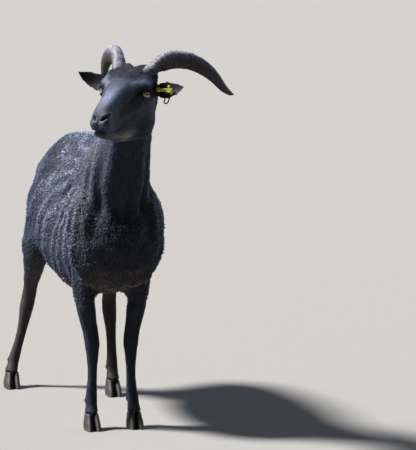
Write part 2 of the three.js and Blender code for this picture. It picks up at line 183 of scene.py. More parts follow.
def corners(mesh):
    """Where the corners of a mesh are."""
    return rows_of(mesh.vertices, "co", 3).astype(float)


# ---------------------------------------------------------------- the horns
# Grey horn grown over bony cores in one open curl each. Close ridges cross them, strongest on the
# outer side, with painted shade in their grooves; the outer face of the curl carries painted light
# and its sides painted shade. The underside is smooth and brown, and the tips are dark and worn,
# with painted shade darkening them further past the top of the curl.
HORN_STEP = 0.005
TIP_LONG = 0.04  # of the tip, whose mean direction starts the middle line
CUT_REACH = 0.045  # how far a section's own points lie from its middle
HORN_ROOT = 0.084  # from the middle of the head to where a horn leaves it
HORN_SUNK = 0.03  # how far its root goes on inside
HORN_RINGS, HORN_SIDES = 230, 48
HORN_DEEP, HORN_ROOT_DEEP, HORN_WIDE = 1.19, 0.76, 0.8  # half sizes of a section, of its mean radius
RIDGE_SPACING = 0.0054
RIDGE_DEPTH = 0.0026
RIDGE_DRIFT = 0.075  # how unevenly the ridges follow each other
HORN_LIT_PALE = np.array([0.165, 0.167, 0.215])
HORN_SHADED_SIDE = np.array([0.036, 0.033, 0.04])
HORN_GROOVE_SHADE = np.array([0.012, 0.011, 0.014])
HORN_BROWN = np.array([0.02, 0.014, 0.01])
HORN_TIP_AND_SHADE = np.array([0.02, 0.02, 0.024])


def middle_line(node, step):
    """The middles and mean radii of a horn's sections from root to tip, found from its solid."""
    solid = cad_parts[node].data
    points = corners(solid)
    tip = points[np.linalg.norm(points - np.array(head_middle), axis=1).argmax()]
    ends = rows_of(solid.edges, "vertices", 2, np.int32)
    way = unit(points[np.linalg.norm(points - tip, axis=1) < TIP_LONG].mean(0) - tip)
    middles, radii, centre = [tip], [0.001], tip + way * step
    while True:
        height = (points - centre) @ way
        below, above = height[ends[:, 0]], height[ends[:, 1]]
        crossing = below * above < 0
        share = (below / np.where(crossing, below - above, 1))[crossing, None]
        cut = points[ends[crossing, 0]] * (1 - share) + points[ends[crossing, 1]] * share
        cut = cut[np.linalg.norm(cut - centre, axis=1) < CUT_REACH]
        middles.append(cut.mean(0))
        radii.append(np.linalg.norm(cut - cut.mean(0), axis=1).mean())
        way = unit(middles[-1] - middles[-2])
        centre = middles[-1] + way * step
        if np.linalg.norm(middles[-1] - head_middle) < HORN_ROOT:
            sunk = middles[-1] + unit(middles[-1] - middles[-7]) * HORN_SUNK
            return np.array([sunk, *middles[::-1]]), np.array([radii[-3], radii[-3], *radii[-2::-1]])


def resampled(values, places, count, rounds):
    """Rows of values at even steps along their places, with the corners between them eased."""
    even = np.linspace(places[0], places[-1], count)
    rows = np.stack([np.interp(even, places, column) for column in values.T], 1)
    for _ in range(rounds):
        rows[1:-1] = (rows[:-2] + rows[1:-1] * 2 + rows[2:]) / 4
    return even, rows


def paint(made, colours, wet=1.0):
    """Gives each corner of a mesh its own colour, and how wet it is, which materials read by name."""
    layer = made.data.color_attributes.new("Marking", "FLOAT_COLOR", "POINT")
    rows = np.column_stack([colours, np.broadcast_to(wet, len(colours))]).astype(np.float32)
    layer.data.foreach_set("color", rows.ravel())


def mixed(colour, other, share):
    """A colour with a share of another in it."""
    return colour * (1 - share) + other * share


def grain(nodes, links, scale, detail):
    """A noise through space, this many steps to the metre."""
    place = nodes.new("ShaderNodeNewGeometry")
    made = nodes.new("ShaderNodeTexNoise")
    made.inputs["Scale"].default_value = scale
    made.inputs["Detail"].default_value = detail
    links.new(place.outputs["Position"], made.inputs["Vector"])
    return made.outputs["Fac"]


def mapped(nodes, links, value, low, high, start=0.0, end=1.0):
    """A value from start to end, as one from low to high."""
    made = nodes.new("ShaderNodeMapRange")
    made.inputs["From Min"].default_value = start
    made.inputs["From Max"].default_value = end
    made.inputs["To Min"].default_value = low
    made.inputs["To Max"].default_value = high
    links.new(value, made.inputs["Value"])
    return made.outputs["Result"]


def relief(nodes, links, shader, height, deep, strength):
    """Raises and sinks the surface a little with a grain (metres)."""
    made = nodes.new("ShaderNodeBump")
    made.inputs["Distance"].default_value = deep
    made.inputs["Strength"].default_value = strength
    links.new(height, made.inputs["Height"])
    links.new(made.outputs["Normal"], shader.inputs["Normal"])


def painted_material(name, roughness, fineness, bump, **sockets):
    """A material that shows the painted colours, mottled and roughened by a fine grain (metres)."""
    made, nodes, links, shader = material(name, (0.5, 0.5, 0.5), roughness, **sockets)
    mottle = grain(nodes, links, 1 / fineness, 4)
    colour = nodes.new("ShaderNodeAttribute")
    colour.attribute_name = "Marking"
    tinted = nodes.new("ShaderNodeVectorMath")
    tinted.operation = "SCALE"
    links.new(colour.outputs["Color"], tinted.inputs["Vector"])
    links.new(mapped(nodes, links, mottle, 0.6, 1.4, 0.3, 0.7), tinted.inputs["Scale"])
    links.new(tinted.outputs["Vector"], shader.inputs["Base Color"])
    relief(nodes, links, shader, mottle, bump, 0.6)
    return made


def tube_faces(rings, sides, first=0, closed=False):
    """The four-cornered faces of a tube made of rings of corners, which may close on itself."""
    faces = []
    for ring in range(rings if closed else rings - 1):
        here, ahead = first + ring * sides, first + (ring + 1) % rings * sides
        for i in range(sides):
            j = (i + 1) % sides
            faces.append((here + i, ahead + i, ahead + j, here + j))
    return faces


def horn(side, seed):
    """Makes a ridged horn along its solid's middle line; returns the middles and radii of its rings."""
    rng = np.random.default_rng(seed)
    line, radii = middle_line("horn_" + side, HORN_STEP)
    steps = np.linalg.norm(np.diff(line, axis=0), axis=1)
    along, rows = resampled(np.column_stack([line, radii]), np.r_[0, steps.cumsum()], HORN_RINGS, 14)
    centres, girth = rows[:, :3], rows[:, 3]
    tangent = unit(np.gradient(centres, axis=0))
    hinge = np.linalg.svd(centres - centres.mean(0))[2][2]
    outward = unit(np.cross(tangent, hinge))
    if (outward[HORN_RINGS // 2] @ (centres[HORN_RINGS // 2] - centres[[0, -1]].mean(0))) < 0:
        outward = -outward
    across = np.cross(tangent, outward)
    share = along / along[-1]
    centres = centres + outward * 0.012 * smooth_step(share, 0.84, 1.16)[:, None]

    turn = np.linspace(0, 2 * np.pi, HORN_SIDES, endpoint=False)
    cos, sin = np.cos(turn), np.sin(turn)
    squared = np.sign(cos) * np.abs(cos) ** 0.88, np.sign(sin) * np.abs(sin) ** 0.84
    drift = np.cumsum(rng.normal(0, RIDGE_DRIFT, HORN_RINGS))
    spacing = RIDGE_SPACING * (1.0 - 0.35 * share)
    phase = np.cumsum(np.gradient(along) / spacing) + drift
    tilt = 0.35 * cos + 0.22 * np.sin(2 * turn + 1) + 0.12 * np.sin(3 * turn)
    wave = phase[:, None] + tilt[None, :]
    near_groove = np.abs((wave % 1) - 0.5) * 2
    groove = np.exp(-((1 - near_groove) / 0.5) ** 2)
    size = 0.85 + 0.3 * np.sin(np.round(wave) * 2.4 + 1.3)
    outer = 0.35 + 0.65 * smooth_step(cos + 0.35 * np.abs(sin), -0.5, 0.3)
    fade = smooth_step(share, 0.9, 0.6) * (1 - 0.3 * smooth_step(share, 0.1, 0))
    strength = groove * size * outer[None, :] * fade[:, None]
    fine = 0.00012 * np.sin(wave * 2 * np.pi * 5 + 3 * np.sin(turn)[None, :])
    reach = 1 - RIDGE_DEPTH * (strength - 0.25) / np.maximum(girth, 0.004)[:, None]
    reach += fine / np.maximum(girth, 0.004)[:, None] * fade[:, None]
    swell = HORN_ROOT_DEEP + (HORN_DEEP - HORN_ROOT_DEEP) * smooth_step(share, 0.1, 0.27)
    deep = (girth * swell)[:, None] * reach * squared[0]
    wide = girth[:, None] * HORN_WIDE * reach * squared[1]
    surface = centres[:, None] + outward[:, None] * deep[..., None] + across[:, None] * wide[..., None]

    points = [*surface[:-1].reshape(-1, 3), centres[-1] + tangent[-1] * 0.002, centres[0]]
    tip, root = len(points) - 2, len(points) - 1
    faces = [(a, d, c, b) for a, b, c, d in tube_faces(HORN_RINGS - 1, HORN_SIDES)]
    last = (HORN_RINGS - 2) * HORN_SIDES
    for i in range(HORN_SIDES):
        j = (i + 1) % HORN_SIDES
        faces += [(last + i, last + j, tip), (j, i, root)]
    made = mesh_object(f"ridged_horn_{side}", points, faces)
    bm = bmesh.new()
    bm.from_mesh(made.data)
    bmesh.ops.recalc_face_normals(bm, faces=bm.faces)
    bm.to_mesh(made.data)
    bm.free()

    # the horn's own brown underneath; painted light on the outer face of the curl, painted shade on its
    # sides
    inner = smooth_step(cos, -0.15, -0.65)[None, :, None]
    upper = smooth_step(cos, -0.1, 0.7)[None, :, None]
    colour = mixed(mixed(HORN_SHADED_SIDE, HORN_LIT_PALE, upper), HORN_BROWN, inner)
    colour = colour * (0.75 + 0.5 * np.sin(np.floor(wave) * 5.1 + 0.7) ** 2)[..., None]
    streak = 0.82 + 0.18 * np.sin(turn * 7 + 2 * np.sin(phase * 0.5)[:, None])[..., None]
    # painted shade in the grooves; the tip its own dark and painted shade; darker at the root
    colour = mixed(colour * streak, HORN_GROOVE_SHADE, strength[..., None])
    colour = mixed(colour, HORN_TIP_AND_SHADE, smooth_step(share, 0.46, 0.8)[:, None, None])
    colour = mixed(colour, HORN_GROOVE_SHADE, smooth_step(share, 0.1, 0.0)[:, None, None] * 0.7)
    paint(made, np.vstack([colour[:-1].reshape(-1, 3), HORN_TIP_AND_SHADE, HORN_GROOVE_SHADE]))
    made.data.materials.append(horn_material)
    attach(made, "root")
    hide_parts("horn_" + side)
    return centres, girth


horn_material = painted_material("ridged_horn", roughness=0.58, fineness=0.0016, bump=0.0003,
                                 Specular_IOR_Level=0.3)
horn_lines = {side: horn(side, seed) for side, seed in (("left", 3), ("right", 8))}

# ---------------------------------------------------------------- the skin
# One hide over the whole body, from the lips to the hooves, with no seams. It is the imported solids
# of flesh melted into one surface, eased, and set in by the depth of the coat that grows on it.
FLESH = ["head", "neck", "trunk", "tail", "udder", "ear_left", "ear_right"]
FLESH += [part + leg for part in ("leg_", "foot_") for leg in LEGS]
VOXEL = 0.0041
# how far the solids are swollen before they melt together, so that neighbours overlap; the hair's
# edge closes over the dewclaws, so they are shrunk instead
OVERLAP, EAR_OVERLAP, EYE_OVERLAP, DEWCLAW_OVERLAP = 0.0005, 0.0036, 0.0004, -0.001
HORN_CORE = 0.84  # the bony core's share of a horn's radius, filled in at its root
# what grows on each part: depth of the coat in millimetres, and how much the part is eased
PARTS = {"trunk": (4.6, 1.0), "neck": (3.6, 0.8), "tail": (4.5, 0.3), "udder": (1.0, 0.4),
         "head": (1.5, 0.13), "ear": (0.4, 0.015), "leg": (1.6, 0.15), "foot": (1.1, 0.1)}


def mesh_from(bm, name):
    """The mesh that has been worked on, which is then put away."""
    mesh = bpy.data.meshes.new(name)
    bm.to_mesh(mesh)
    bm.free()
    return mesh


def swollen(node, by):
    """A copy of a solid's mesh with its surface moved outwards."""
    piece = bmesh.new()
    piece.from_mesh(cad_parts[node].data)
    bmesh.ops.remove_doubles(piece, verts=piece.verts, dist=1e-6)
    bmesh.ops.recalc_face_normals(piece, faces=piece.faces)
    piece.normal_update()
    for corner in piece.verts:
        corner.co += corner.normal * by
    return mesh_from(piece, node)


def melted(mesh, voxel):
    """The outer surface of overlapping shells as one even mesh."""
    holder = placed("holder", mesh)
    voxels = holder.modifiers.new("voxels", "REMESH")
    voxels.mode = "VOXEL"
    voxels.voxel_size = voxel
    found = bpy.data.meshes.new_from_object(holder.evaluated_get(bpy.context.evaluated_depsgraph_get()))
    bpy.data.objects.remove(holder)
    return found


def move_corners(mesh, points):
    """Puts the corners of a mesh elsewhere and returns its normals there."""
    mesh.vertices.foreach_set("co", points.astype(np.float32).ravel())
    mesh.update()
    return rows_of(mesh.vertex_normals, "vector", 3).astype(float)


def neighbours(mesh):
    """The pairs of joined corners, each pair both ways round."""
    ends = rows_of(mesh.edges, "vertices", 2, np.int32)
    return np.r_[ends[:, 0], ends[:, 1]], np.r_[ends[:, 1], ends[:, 0]]


def eased(values, pairs, rounds, strength=0.5):
    """Values on the corners of a mesh, evened out along its edges."""
    here, there = pairs
    count = len(values)
    rows = np.asarray(values, float).reshape(count, -1).copy()
    share = 1 / np.maximum(np.bincount(here, minlength=count), 1)[:, None]
    strength = np.broadcast_to(np.asarray(strength, float), count)[:, None]
    for _ in range(rounds):
        sums = [np.bincount(here, weights=column[there], minlength=count) for column in rows.T]
        rows += strength * (np.stack(sums, 1) * share - rows)
    return rows.reshape(np.shape(values))


body = bmesh.new()
for node in FLESH:
    body.from_mesh(swollen(node, EAR_OVERLAP if node.startswith("ear") else OVERLAP))
for side in ("left", "right"):
    body.from_mesh(swollen("eye_" + side, EYE_OVERLAP))
    centres, girth = horn_lines[side]
    for ring in range(0, HORN_RINGS // 9, 4):
        bmesh.ops.create_icosphere(body, subdivisions=3, radius=girth[ring] * HORN_CORE,
                                   matrix=Matrix.Translation(centres[ring]))
for leg in LEGS:
    for half in ("left", "right"):
        body.from_mesh(swollen(f"{leg}_dewclaw_{half}", DEWCLAW_OVERLAP))
hide = melted(mesh_from(body, "melted"), VOXEL)


def shell_of(solids):
    """The faces of some solids as one shell, and which of the solids each face belongs to."""
    points, faces, owners = [], [], []
    for k, node in enumerate(solids):
        start = len(points)
        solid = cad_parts[node].data
        points += [tuple(p) for p in corners(solid)]
        faces += [[start + i for i in side.vertices] for side in solid.polygons]
        owners += [k] * len(solid.polygons)
    return BVHTree.FromPolygons(points, faces), np.array(owners)


shell, shell_node = shell_of(FLESH)


def standing(points):
    """How far each point stands out of the solids, and which of them it lies on."""
    found = [shell.find_nearest(Vector(p)) for p in points]
    place = np.array([f[0][:] for f in found])
    facing = np.array([f[1][:] for f in found])
    return ((points - place) * facing).sum(1), shell_node[[f[2] for f in found]]


links = neighbours(hide)
place = corners(hide)
node_of = standing(place)[1]
rows = np.array([PARTS[node.split("_")[0]] for node in FLESH])[node_of]
depth = eased(rows[:, 0] / 1000, links, 40)
ease = eased(rows[:, 1], links, 6)
place = eased(place, links, 150, 0.5 * ease)
for _ in range(2):
    proud = eased(standing(place)[0], links, 25)
    place -= move_corners(hide, place) * (proud + depth)[:, None]
    place = eased(place, links, 3, 0.4 * ease)
move_corners(hide, place)

# ---------------------------------------------------------------- the face, worked into the skin
# A narrow muzzle with comma-shaped nostrils, a split upper lip and thin lips; flat-sided bridge and
# cheeks over bone; almond lids that fit closely round the eyes, with a tear pit before each.


def refined(mesh, chosen):
    """Splits the faces between the chosen corners in four and eases the new surface."""
    fine = bmesh.new()
    fine.from_mesh(mesh)
    fine.verts.ensure_lookup_table()
    marked = [edge for edge in fine.edges if chosen[edge.verts[0].index] and chosen[edge.verts[1].index]]
    bmesh.ops.subdivide_edges(fine, edges=marked, cuts=1, use_grid_fill=True)
    bmesh.ops.triangulate(fine, faces=[face for face in fine.faces if len(face.verts) > 4])
    fine.to_mesh(mesh)
    fine.free()
    points = corners(mesh)
    fresh = np.zeros(len(points), bool)
    fresh[:len(chosen)] = chosen
    fresh[len(chosen):] = True
    move_corners(mesh, eased(points, neighbours(mesh), 3, 0.5 * fresh))


def off_line(points, line):
    """How far points are from a line of places, and how far along it their nearest place is."""
    line = np.array(line, float)
    best, along = np.full(len(points), 1e9), np.zeros(len(points))
    for i, (start, end) in enumerate(zip(line[:-1], line[1:])):
        t = np.clip((points - start) @ (end - start) / ((end - start) @ (end - start)), 0, 1)
        gap = np.linalg.norm(points - start - t[:, None] * (end - start), axis=1)
        closer = gap < best
        best, along = np.where(closer, gap, best), np.where(closer, (i + t) / (len(line) - 1), along)
    return best, along


HORN_COLLAR = 40  # rings of a horn that stand in the skin
NOSTRIL = [(3.6, -149.5, -24.5), (8, -148.5, -22.5), (12.5, -144.5, -19.5), (16.5, -136.5, -16.5),
           (19.5, -125, -14)]
MOUTH = [(0, -150, -46.5), (8, -148, -48.5), (14, -141, -50.5), (17, -124, -55), (16.5, -104, -59.5),
         (17, -90, -61.5), (19.5, -75, -60), (21.5, -65, -55.5)]
SIDEWAYS = (0.35, 1, 1)  # how much a step in each axis counts beside a crease
EYE_MIDDLE, EYE_ROUND = np.array([42.0, 0, 0]), 14.5
LID_LONG, LID_HIGH, LID_CURVE = 13.0, 5.6, 1.75


def eye_axes(side):
    """The way an eye looks, the way from its front corner to its rear one, and up, in the head."""
    off, rise, slant = np.radians((61, 6, -20))
    gaze = np.array([side * np.sin(off) * np.cos(rise), -np.cos(off) * np.cos(rise), np.sin(rise)])
    back = np.array([side * np.cos(off), np.sin(off), 0])
    up = unit(np.array([0, 0, 1]) - gaze[2] * gaze)
    return gaze, back * np.cos(slant) + up * np.sin(slant), up * np.cos(slant) - back * np.sin(slant)


def in_lids(points, side):
    """Places near an eye as arcs over its ball, backwards and up, and their distance from its middle."""
    gaze, back, up = eye_axes(side)
    away = points - EYE_MIDDLE * [side, 1, 1]
    far = np.linalg.norm(away, axis=1)
    facing = away @ gaze
    along = np.arctan2(away @ back, facing) * EYE_ROUND
    over = np.arctan2(away @ up, facing) * EYE_ROUND
    return along, over, far, facing > 0


def lid_share(along, over):
    """0 in the middle of the opening of the lids, 1 on its edge."""
    high = np.where(over > 0, LID_HIGH * 1.06, LID_HIGH * 0.9) * (1 - 0.12 * np.tanh(along / LID_LONG))
    return ((np.abs(along) / LID_LONG) ** LID_CURVE + (np.abs(over) / high) ** LID_CURVE) ** (1 / LID_CURVE)


def mirrored(points):
    """Places brought over to the left side of the head."""
    return points * np.where(points[:, :1] < 0, [-1, 1, 1], [1, 1, 1])


EARS = ("ear_left", "ear_right")
HEAD_SIDE = 47  # from the middle of the head to where the ears begin
EAR_NEAR, EAR_WIDE = 0.006, 0.008  # how close to an ear's solid its skin lies
ear_shell = shell_of(EARS)[0]


def on_ears(points, reach):
    """Which points lie near the ears' solids and beyond the side of the head, and their spots there."""
    found = [ear_shell.find_nearest(Vector(p), reach)[0] for p in points]
    near = np.array([spot is not None for spot in found])
    spots = np.array([spot[:] if spot is not None else (0, 0, 0) for spot in found])
    return near & (np.abs(in_head(points)[:, 0]) > HEAD_SIDE), spots


# the ears are thin, so their skin is made finer, drawn back to their solids and evened out
for _ in range(2):
    refined(hide, on_ears(corners(hide), EAR_NEAR)[0])
place = corners(hide)
for _ in range(3):
    near, spot = on_ears(place, EAR_WIDE)
    pull = eased(near.astype(float), neighbours(hide), 4) * near
    place = place + np.where(near[:, None], spot - place, 0) * pull[:, None]
    place = eased(place, neighbours(hide), 2, 0.5 * near)
near, spot = on_ears(place, EAR_WIDE)
place = np.where(near[:, None], place * 0.4 + spot * 0.6, place)
rim_links = neighbours(hide)
rim_share = 0.5 * np.minimum(1, 3 * eased(near.astype(float), rim_links, 3))
for _ in range(2):
    place = eased(place, rim_links, 18, rim_share)
    near, spot = on_ears(place, EAR_NEAR)
    place = np.where(near[:, None], place * 0.7 + spot * 0.3, place)
place = eased(place, rim_links, 12, rim_share)
move_corners(hide, place)

# the skin is finer on the face, and finest round the eyes, the nostrils and the mouth
spots = in_head(corners(hide))
refined(hide, (np.abs(spots[:, 0]) < 62) & (spots[:, 1] < 34) & (spots[:, 2] > -105) & (spots[:, 2] < 75)
        & ~on_ears(corners(hide), EAR_WIDE)[0])
spots = mirrored(in_head(corners(hide)))
to_eye = np.linalg.norm(spots - EYE_MIDDLE, axis=1)
refined(hide, (to_eye < 26) | (spots[:, 1] < -112) | (off_line(spots, MOUTH)[0] < 7))
spots = mirrored(in_head(corners(hide)))
to_eye = np.linalg.norm(spots - EYE_MIDDLE, axis=1)
refined(hide, (to_eye < 21) & (spots[:, 0] > 38) | (off_line(spots, NOSTRIL)[0] < 7))

place = corners(hide)
links = neighbours(hide)
facing = move_corners(hide, place)
spots = in_head(place)
ways = facing @ head_axes.T
half = mirrored(spots)


def bump(height, middle, reach):
    """A soft swelling of the skin round a place, reaching different lengths along the three axes."""
    gap = np.linalg.norm((half - middle) / np.array(reach, float), axis=1)
    return height * np.exp(-gap ** 2 * 1.6)


def crease(depth, line, width, start=0.0, end=1.0):
    """A groove or, with a depth below 0, a ridge along a line; it fades at its ends."""
    gap, along = off_line(half * SIDEWAYS, np.array(line) * SIDEWAYS)
    fade = smooth_step(along, start - 0.001, start + 0.15) * smooth_step(along, end + 0.001, end - 0.15)
    return -depth * np.exp(-(gap / width) ** 2) * fade


# the bridge's rounded edge, the cheekbone, the hollows beside the bridge and on the cheek
shift = crease(-1.6, [(10, -128, -3), (11.5, -99, 9.4), (16, -67, 19), (20, -42, 27)], 4.5)
shift += crease(-2.2, [(34, -2, -19), (31, -30, -26), (27, -62, -31), (25, -84, -34)], 6)
shift += crease(2.4, [(27, -18, -2), (24, -45, -8), (21, -75, -14), (20, -100, -20)], 9)
shift += crease(2.0, [(30, -30, -42), (27, -60, -46), (25, -85, -45)], 8)
# the jaw's rear corner, the chin and the side of the upper lip
shift += bump(3.0, (36, 22, -48), (14, 34, 30))
shift += bump(1.6, (14, -136, -58), (14, 16, 9))
shift += bump(1.8, (19, -136, -33), (9, 14, 11))
# the brow over the eye, and the hollows before the eye and between the lid and the brow
shift += crease(-5.2, [(30, -27, 20), (38, -15, 27), (43, 2, 29), (48.5, 15, 28), (53, 30, 21)], 6.0)
shift += crease(3.2, [(33, -26, 15), (38, -25, 6), (35, -40, 0), (30, -56, -9)], 5.0)
shift += crease(2.8, [(41, -19, 13), (49, -10, 17), (53.5, 2, 16.5), (55, 15, 11)], 3.8, -0.2, 1.2)
shift += bump(4.0, (56, 2, 16), (12, 18, 9))
# the swell beside the nostril and the long hair under the jaw
shift += bump(2.2, (12, -143, -33), (8, 11, 8))
shift += bump(4.5, (12, -62, -92), (26, 48, 22))
spots = spots + ways * eased(shift, links, 2)[:, None]
# the nostril's lower and upper rims, the cleft of the upper lip, both lips and the mouth between
lower_rim = [(2, -148, -34), (8, -149, -29), (14, -147, -27), (21, -141, -21), (26, -134, -16)]
shift = crease(-1.3, lower_rim, 2.6)
shift += crease(-1.7, [(5, -146, -17), (11, -145, -13.5), (18, -140, -9.5), (24, -132, -9)], 3.2)
shift += crease(2.6, [(0, -150, -25), (0, -151, -32), (0, -151, -45)], 1.7, -0.2, 1.2)
upper_lip = [(3, -149, -43), (9, -146, -44.5), (15, -140, -46), (19, -124, -50), (19, -104, -54.5)]
lower_lip = [(0, -148, -52.5), (9, -145, -54), (14, -138, -56), (16, -122, -60), (15, -102, -64)]
shift += crease(-1.2, upper_lip, 2.4)
shift += crease(-1.4, lower_lip, 2.8)
shift += crease(4.2, MOUTH, 1.8, -0.2, 1.06)
spots = spots + ways * eased(shift, links, 1)[:, None]
# the nostril itself, pressed straight in
gap, along = off_line(half, NOSTRIL)
slit = 8.0 * np.exp(-(gap / (1.4 + 2.3 * np.sin(np.pi * np.clip(along, 0, 1)))) ** 4)
spots = spots - eased(ways, links, 30) * eased(slit, links, 1)[:, None]

# the skin drawn up in a collar round the root of each horn
for side in ("left", "right"):
    centres, girth = horn_lines[side]
    root_line = in_head(centres[:HORN_COLLAR])
    gap, along = off_line(spots, root_line)
    collar = smooth_step(gap, 36, 20) * (along < 0.99)
    spots = spots + 21 * collar[:, None] * unit(root_line[-1] - root_line[-8])

# the lids: rims round the opening, creases over and under them, a tear pit, and room for the eye
TEAR_PIT = [(-12, -1.5, 0), (-19, -7, 0)]
EYE_CLEAR = EYE_ROUND + 1.3
for side in (1, -1):
    along, over, far, before = in_lids(spots, side)
    share = lid_share(along, over)
    rim = 1.9 + 0.5 * np.exp(-((over - 8) / 3) ** 2) - 0.5 * np.exp(-((over - 11.5) / 1.6) ** 2)
    rim -= 0.6 * np.exp(-((over + 9.5) / 1.8) ** 2)
    rim *= 0.75 + 0.25 * smooth_step(share, 1, 1.18)
    aim = np.where(share < 0.97, EYE_ROUND - 3, EYE_ROUND + rim)
    near = smooth_step(share, 2.3, 1.35) * before
    pit = np.exp(-(off_line(np.stack([along, over, 0 * along], 1), TEAR_PIT)[0] / 2.0) ** 2)
    reach = far + near * (aim - far) - 2.2 * pit * before * (far < 26)
    clear = (share > 1) & (far < EYE_CLEAR)
    reach = np.where(clear, np.maximum(reach, EYE_CLEAR), reach)
    middle = EYE_MIDDLE * [side, 1, 1]
    chosen = (before & (far < 30) & (near + pit > 0.001)) | clear & (far > EYE_ROUND - 6)
    spots[chosen] = (middle + (spots - middle) * (reach / far)[:, None])[chosen]
place = from_head(spots)
move_corners(hide, place)

# ---------------------------------------------------------------- the forms of her body
# Shorn close, she shows what lies under the wool: the shoulder's front edge, the hollow before the
# hips, the hip bones, folds of loose skin down the neck, and the low ridges that the shears left.
SHEAR_CENTRE = (-160, 600)  # the strokes fan out from here: along the body, and up


def in_body(points):
    """World places in millimetres, x from the line of the spine and brought over to her right side."""
    moved = points * 1000
    return np.stack([-np.abs(moved[:, 0] - spine_x), moved[:, 1], moved[:, 2]], 1)


def body_crease(depth, line, width, start=0.0, end=1.0):
    """A groove or, with a depth below 0, a ridge on both sides of the body (millimetres)."""
    gap, along = off_line(flank, line)
    fade = smooth_step(along, start - 0.001, start + 0.2) * smooth_step(along, end + 0.001, end - 0.2)
    return -depth * np.exp(-(gap / width) ** 2) * fade


def lying_on(solids, rounds):
    """1 where the skin lies on some solids and 0 elsewhere, with the edge between eased."""
    inside = np.isin(node_of, [FLESH.index(node) for node in solids])
    return eased(inside.astype(float), links, rounds)


trunk_low, trunk_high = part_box("trunk")
spine_x = 500 * (trunk_low.x + trunk_high.x)
place = corners(hide)
links = neighbours(hide)
facing = move_corners(hide, place)
flank = in_body(place)
node_of = standing(place)[1]
on_trunk = lying_on(["trunk"], 10)
on_neck = lying_on(["neck"], 10)
SHOULDER_EDGE = [(-84, -146, 520), (-101, -150, 445), (-96, -160, 360)]
BEHIND_SHOULDER = [(-88, -120, 520), (-104, -125, 445), (-100, -135, 360)]
# the hollow before the hip, the hip bone, and the edge of the shoulder with the hollows beside it
before_hip = [(-54, 169, 590), (-69, 140, 569), (-83, 118, 546), (-90, 130, 529), (-95, 128, 480)]
form = body_crease(7, before_hip, 26)
form += body_crease(-5, [(-30, 226, 606), (-56, 238, 590), (-78, 248, 556)], 18)
form += body_crease(-7, SHOULDER_EDGE, 11)
form += body_crease(8, BEHIND_SHOULDER, 11)
form += body_crease(6, [(-60, -205, 548), (-68, -213, 480), (-64, -208, 415)], 19)
# the throat's hollow, a cord down the neck, and folds that run back from the withers
form += body_crease(9, [(0, -300, 520), (0, -292, 470), (0, -280, 420)], 42)
form += body_crease(-4, [(-30, -252, 618), (-21, -241, 568), (-30, -245, 500), (-38, -240, 440)], 12)
form += body_crease(-3.4, [(-64, -134, 572), (-80, -55, 540), (-92, 12, 508)], 11)
form += body_crease(-3.4, [(-59, -141, 564), (-96, -85, 494), (-103, -35, 453)], 10)
form += body_crease(4, [(-60, -100, 582), (-88, -62, 525), (-98, 0, 478)], 14)
# the ridges between the shears' strokes, and the folds down the neck
along, up = flank[:, 1] - SHEAR_CENTRE[0], flank[:, 2] - SHEAR_CENTRE[1]
fan, radius = np.arctan2(up, along), np.hypot(up, along)
waves = fan * 34 + 1.6 * np.sin(radius / 55) + 0.9 * np.sin(flank[:, 1] / 23 + flank[:, 2] / 31)
blow = (0.5 + 0.5 * np.sin(waves)) ** 1.5 * smooth_step(radius, 50, 130)
form += 2.6 * blow * on_trunk * smooth_step(np.abs(flank[:, 0]), 15, 45)
around = np.arctan2(flank[:, 0], -(flank[:, 1] + 100))
fold = np.sin(around * 21 + 1.3 * np.sin(flank[:, 2] / 38)) * on_neck
form += 3.0 * fold
shear_ridge = np.clip(blow * on_trunk + 0.5 * (fold > 0) * on_neck, 0, 1)
place = place + facing * (eased(form, links, 2) / 1000)[:, None]
facing = move_corners(hide, place)

# ---------------------------------------------------------------- the markings
# Black all over. The wool's blue-grey is partly faded by the weather and partly painted sheen and
# painted light, on the sides and back that face up and out, less towards the rump and lower down.
# Painted highlights lie on the shoulder and its front edge, the bridge, the brows and the muzzle;
# painted shade lies behind the shoulder, in the hollow before the hip and round the eyes, and darkens
# the ears. The poll is browner, the jaw is grizzled, the hind legs are rusty, and the bare nose is
# dark and slightly shiny.
BLACK = np.array([0.006, 0.0085, 0.018])
POLL_BROWN = np.array([0.02, 0.017, 0.022])
WEATHERED_AND_SHEEN = np.array([0.048, 0.054, 0.08])
BRIDGE_SHEEN = np.array([0.11, 0.132, 0.205])
HOLLOW_SHADE = np.array([0.002, 0.003, 0.006])
JAW_GREY = np.array([0.3, 0.3, 0.24])
RUST = np.array([0.034, 0.026, 0.02])
BELLY_TAN = np.array([0.085, 0.068, 0.045])
NOSE_SLATE = np.array([0.03, 0.038, 0.062])
MUZZLE_SHEEN = np.array([0.06, 0.075, 0.125])

spots = in_head(place)
half = mirrored(spots)
on_head = lying_on(["head"], 6)


def patch(middle, reach):
    """1 in the middle of a patch on both sides of the head, fading to 0 over its reach."""
    return np.exp(-1.6 * (((half - middle) / reach) ** 2).sum(1)) * on_head


def stroke(line, width):
    """1 on a line on both sides of the head, fading to 0 beside it."""
    return np.exp(-(off_line(half, line)[0] / width) ** 2) * on_head


def body_patch(middle, reach):
    """1 in the middle of a patch on both sides of the body, fading to 0 over its reach."""
    return np.exp(-1.6 * (((flank - middle) / reach) ** 2).sum(1))


on_hind_legs = lying_on([node for node in FLESH if node.startswith(("leg_hind", "foot_hind"))], 12)
on_ear = lying_on(EARS, 3)
LIP_CLEFT = [(0, -151, -24), (0, -152, -40)]
bare = smooth_step(off_line(half, NOSTRIL)[0], 7, 3) + smooth_step(off_line(half, MOUTH)[0], 2.8, 1.4)
bare = np.clip(bare + smooth_step(off_line(half, LIP_CLEFT)[0], 5, 2), 0, 1)
bare *= (spots[:, 1] < -70)
lid_shade = np.zeros(len(place))
for side in (1, -1):
    along, over, far, before = in_lids(spots, side)
    bare = np.maximum(bare, smooth_step(lid_share(along, over), 1.32, 1.16) * before * (far < 21))
    lid_shade = np.maximum(lid_shade, smooth_step(lid_share(along, over), 2.2, 1.3) * before * (far < 24))
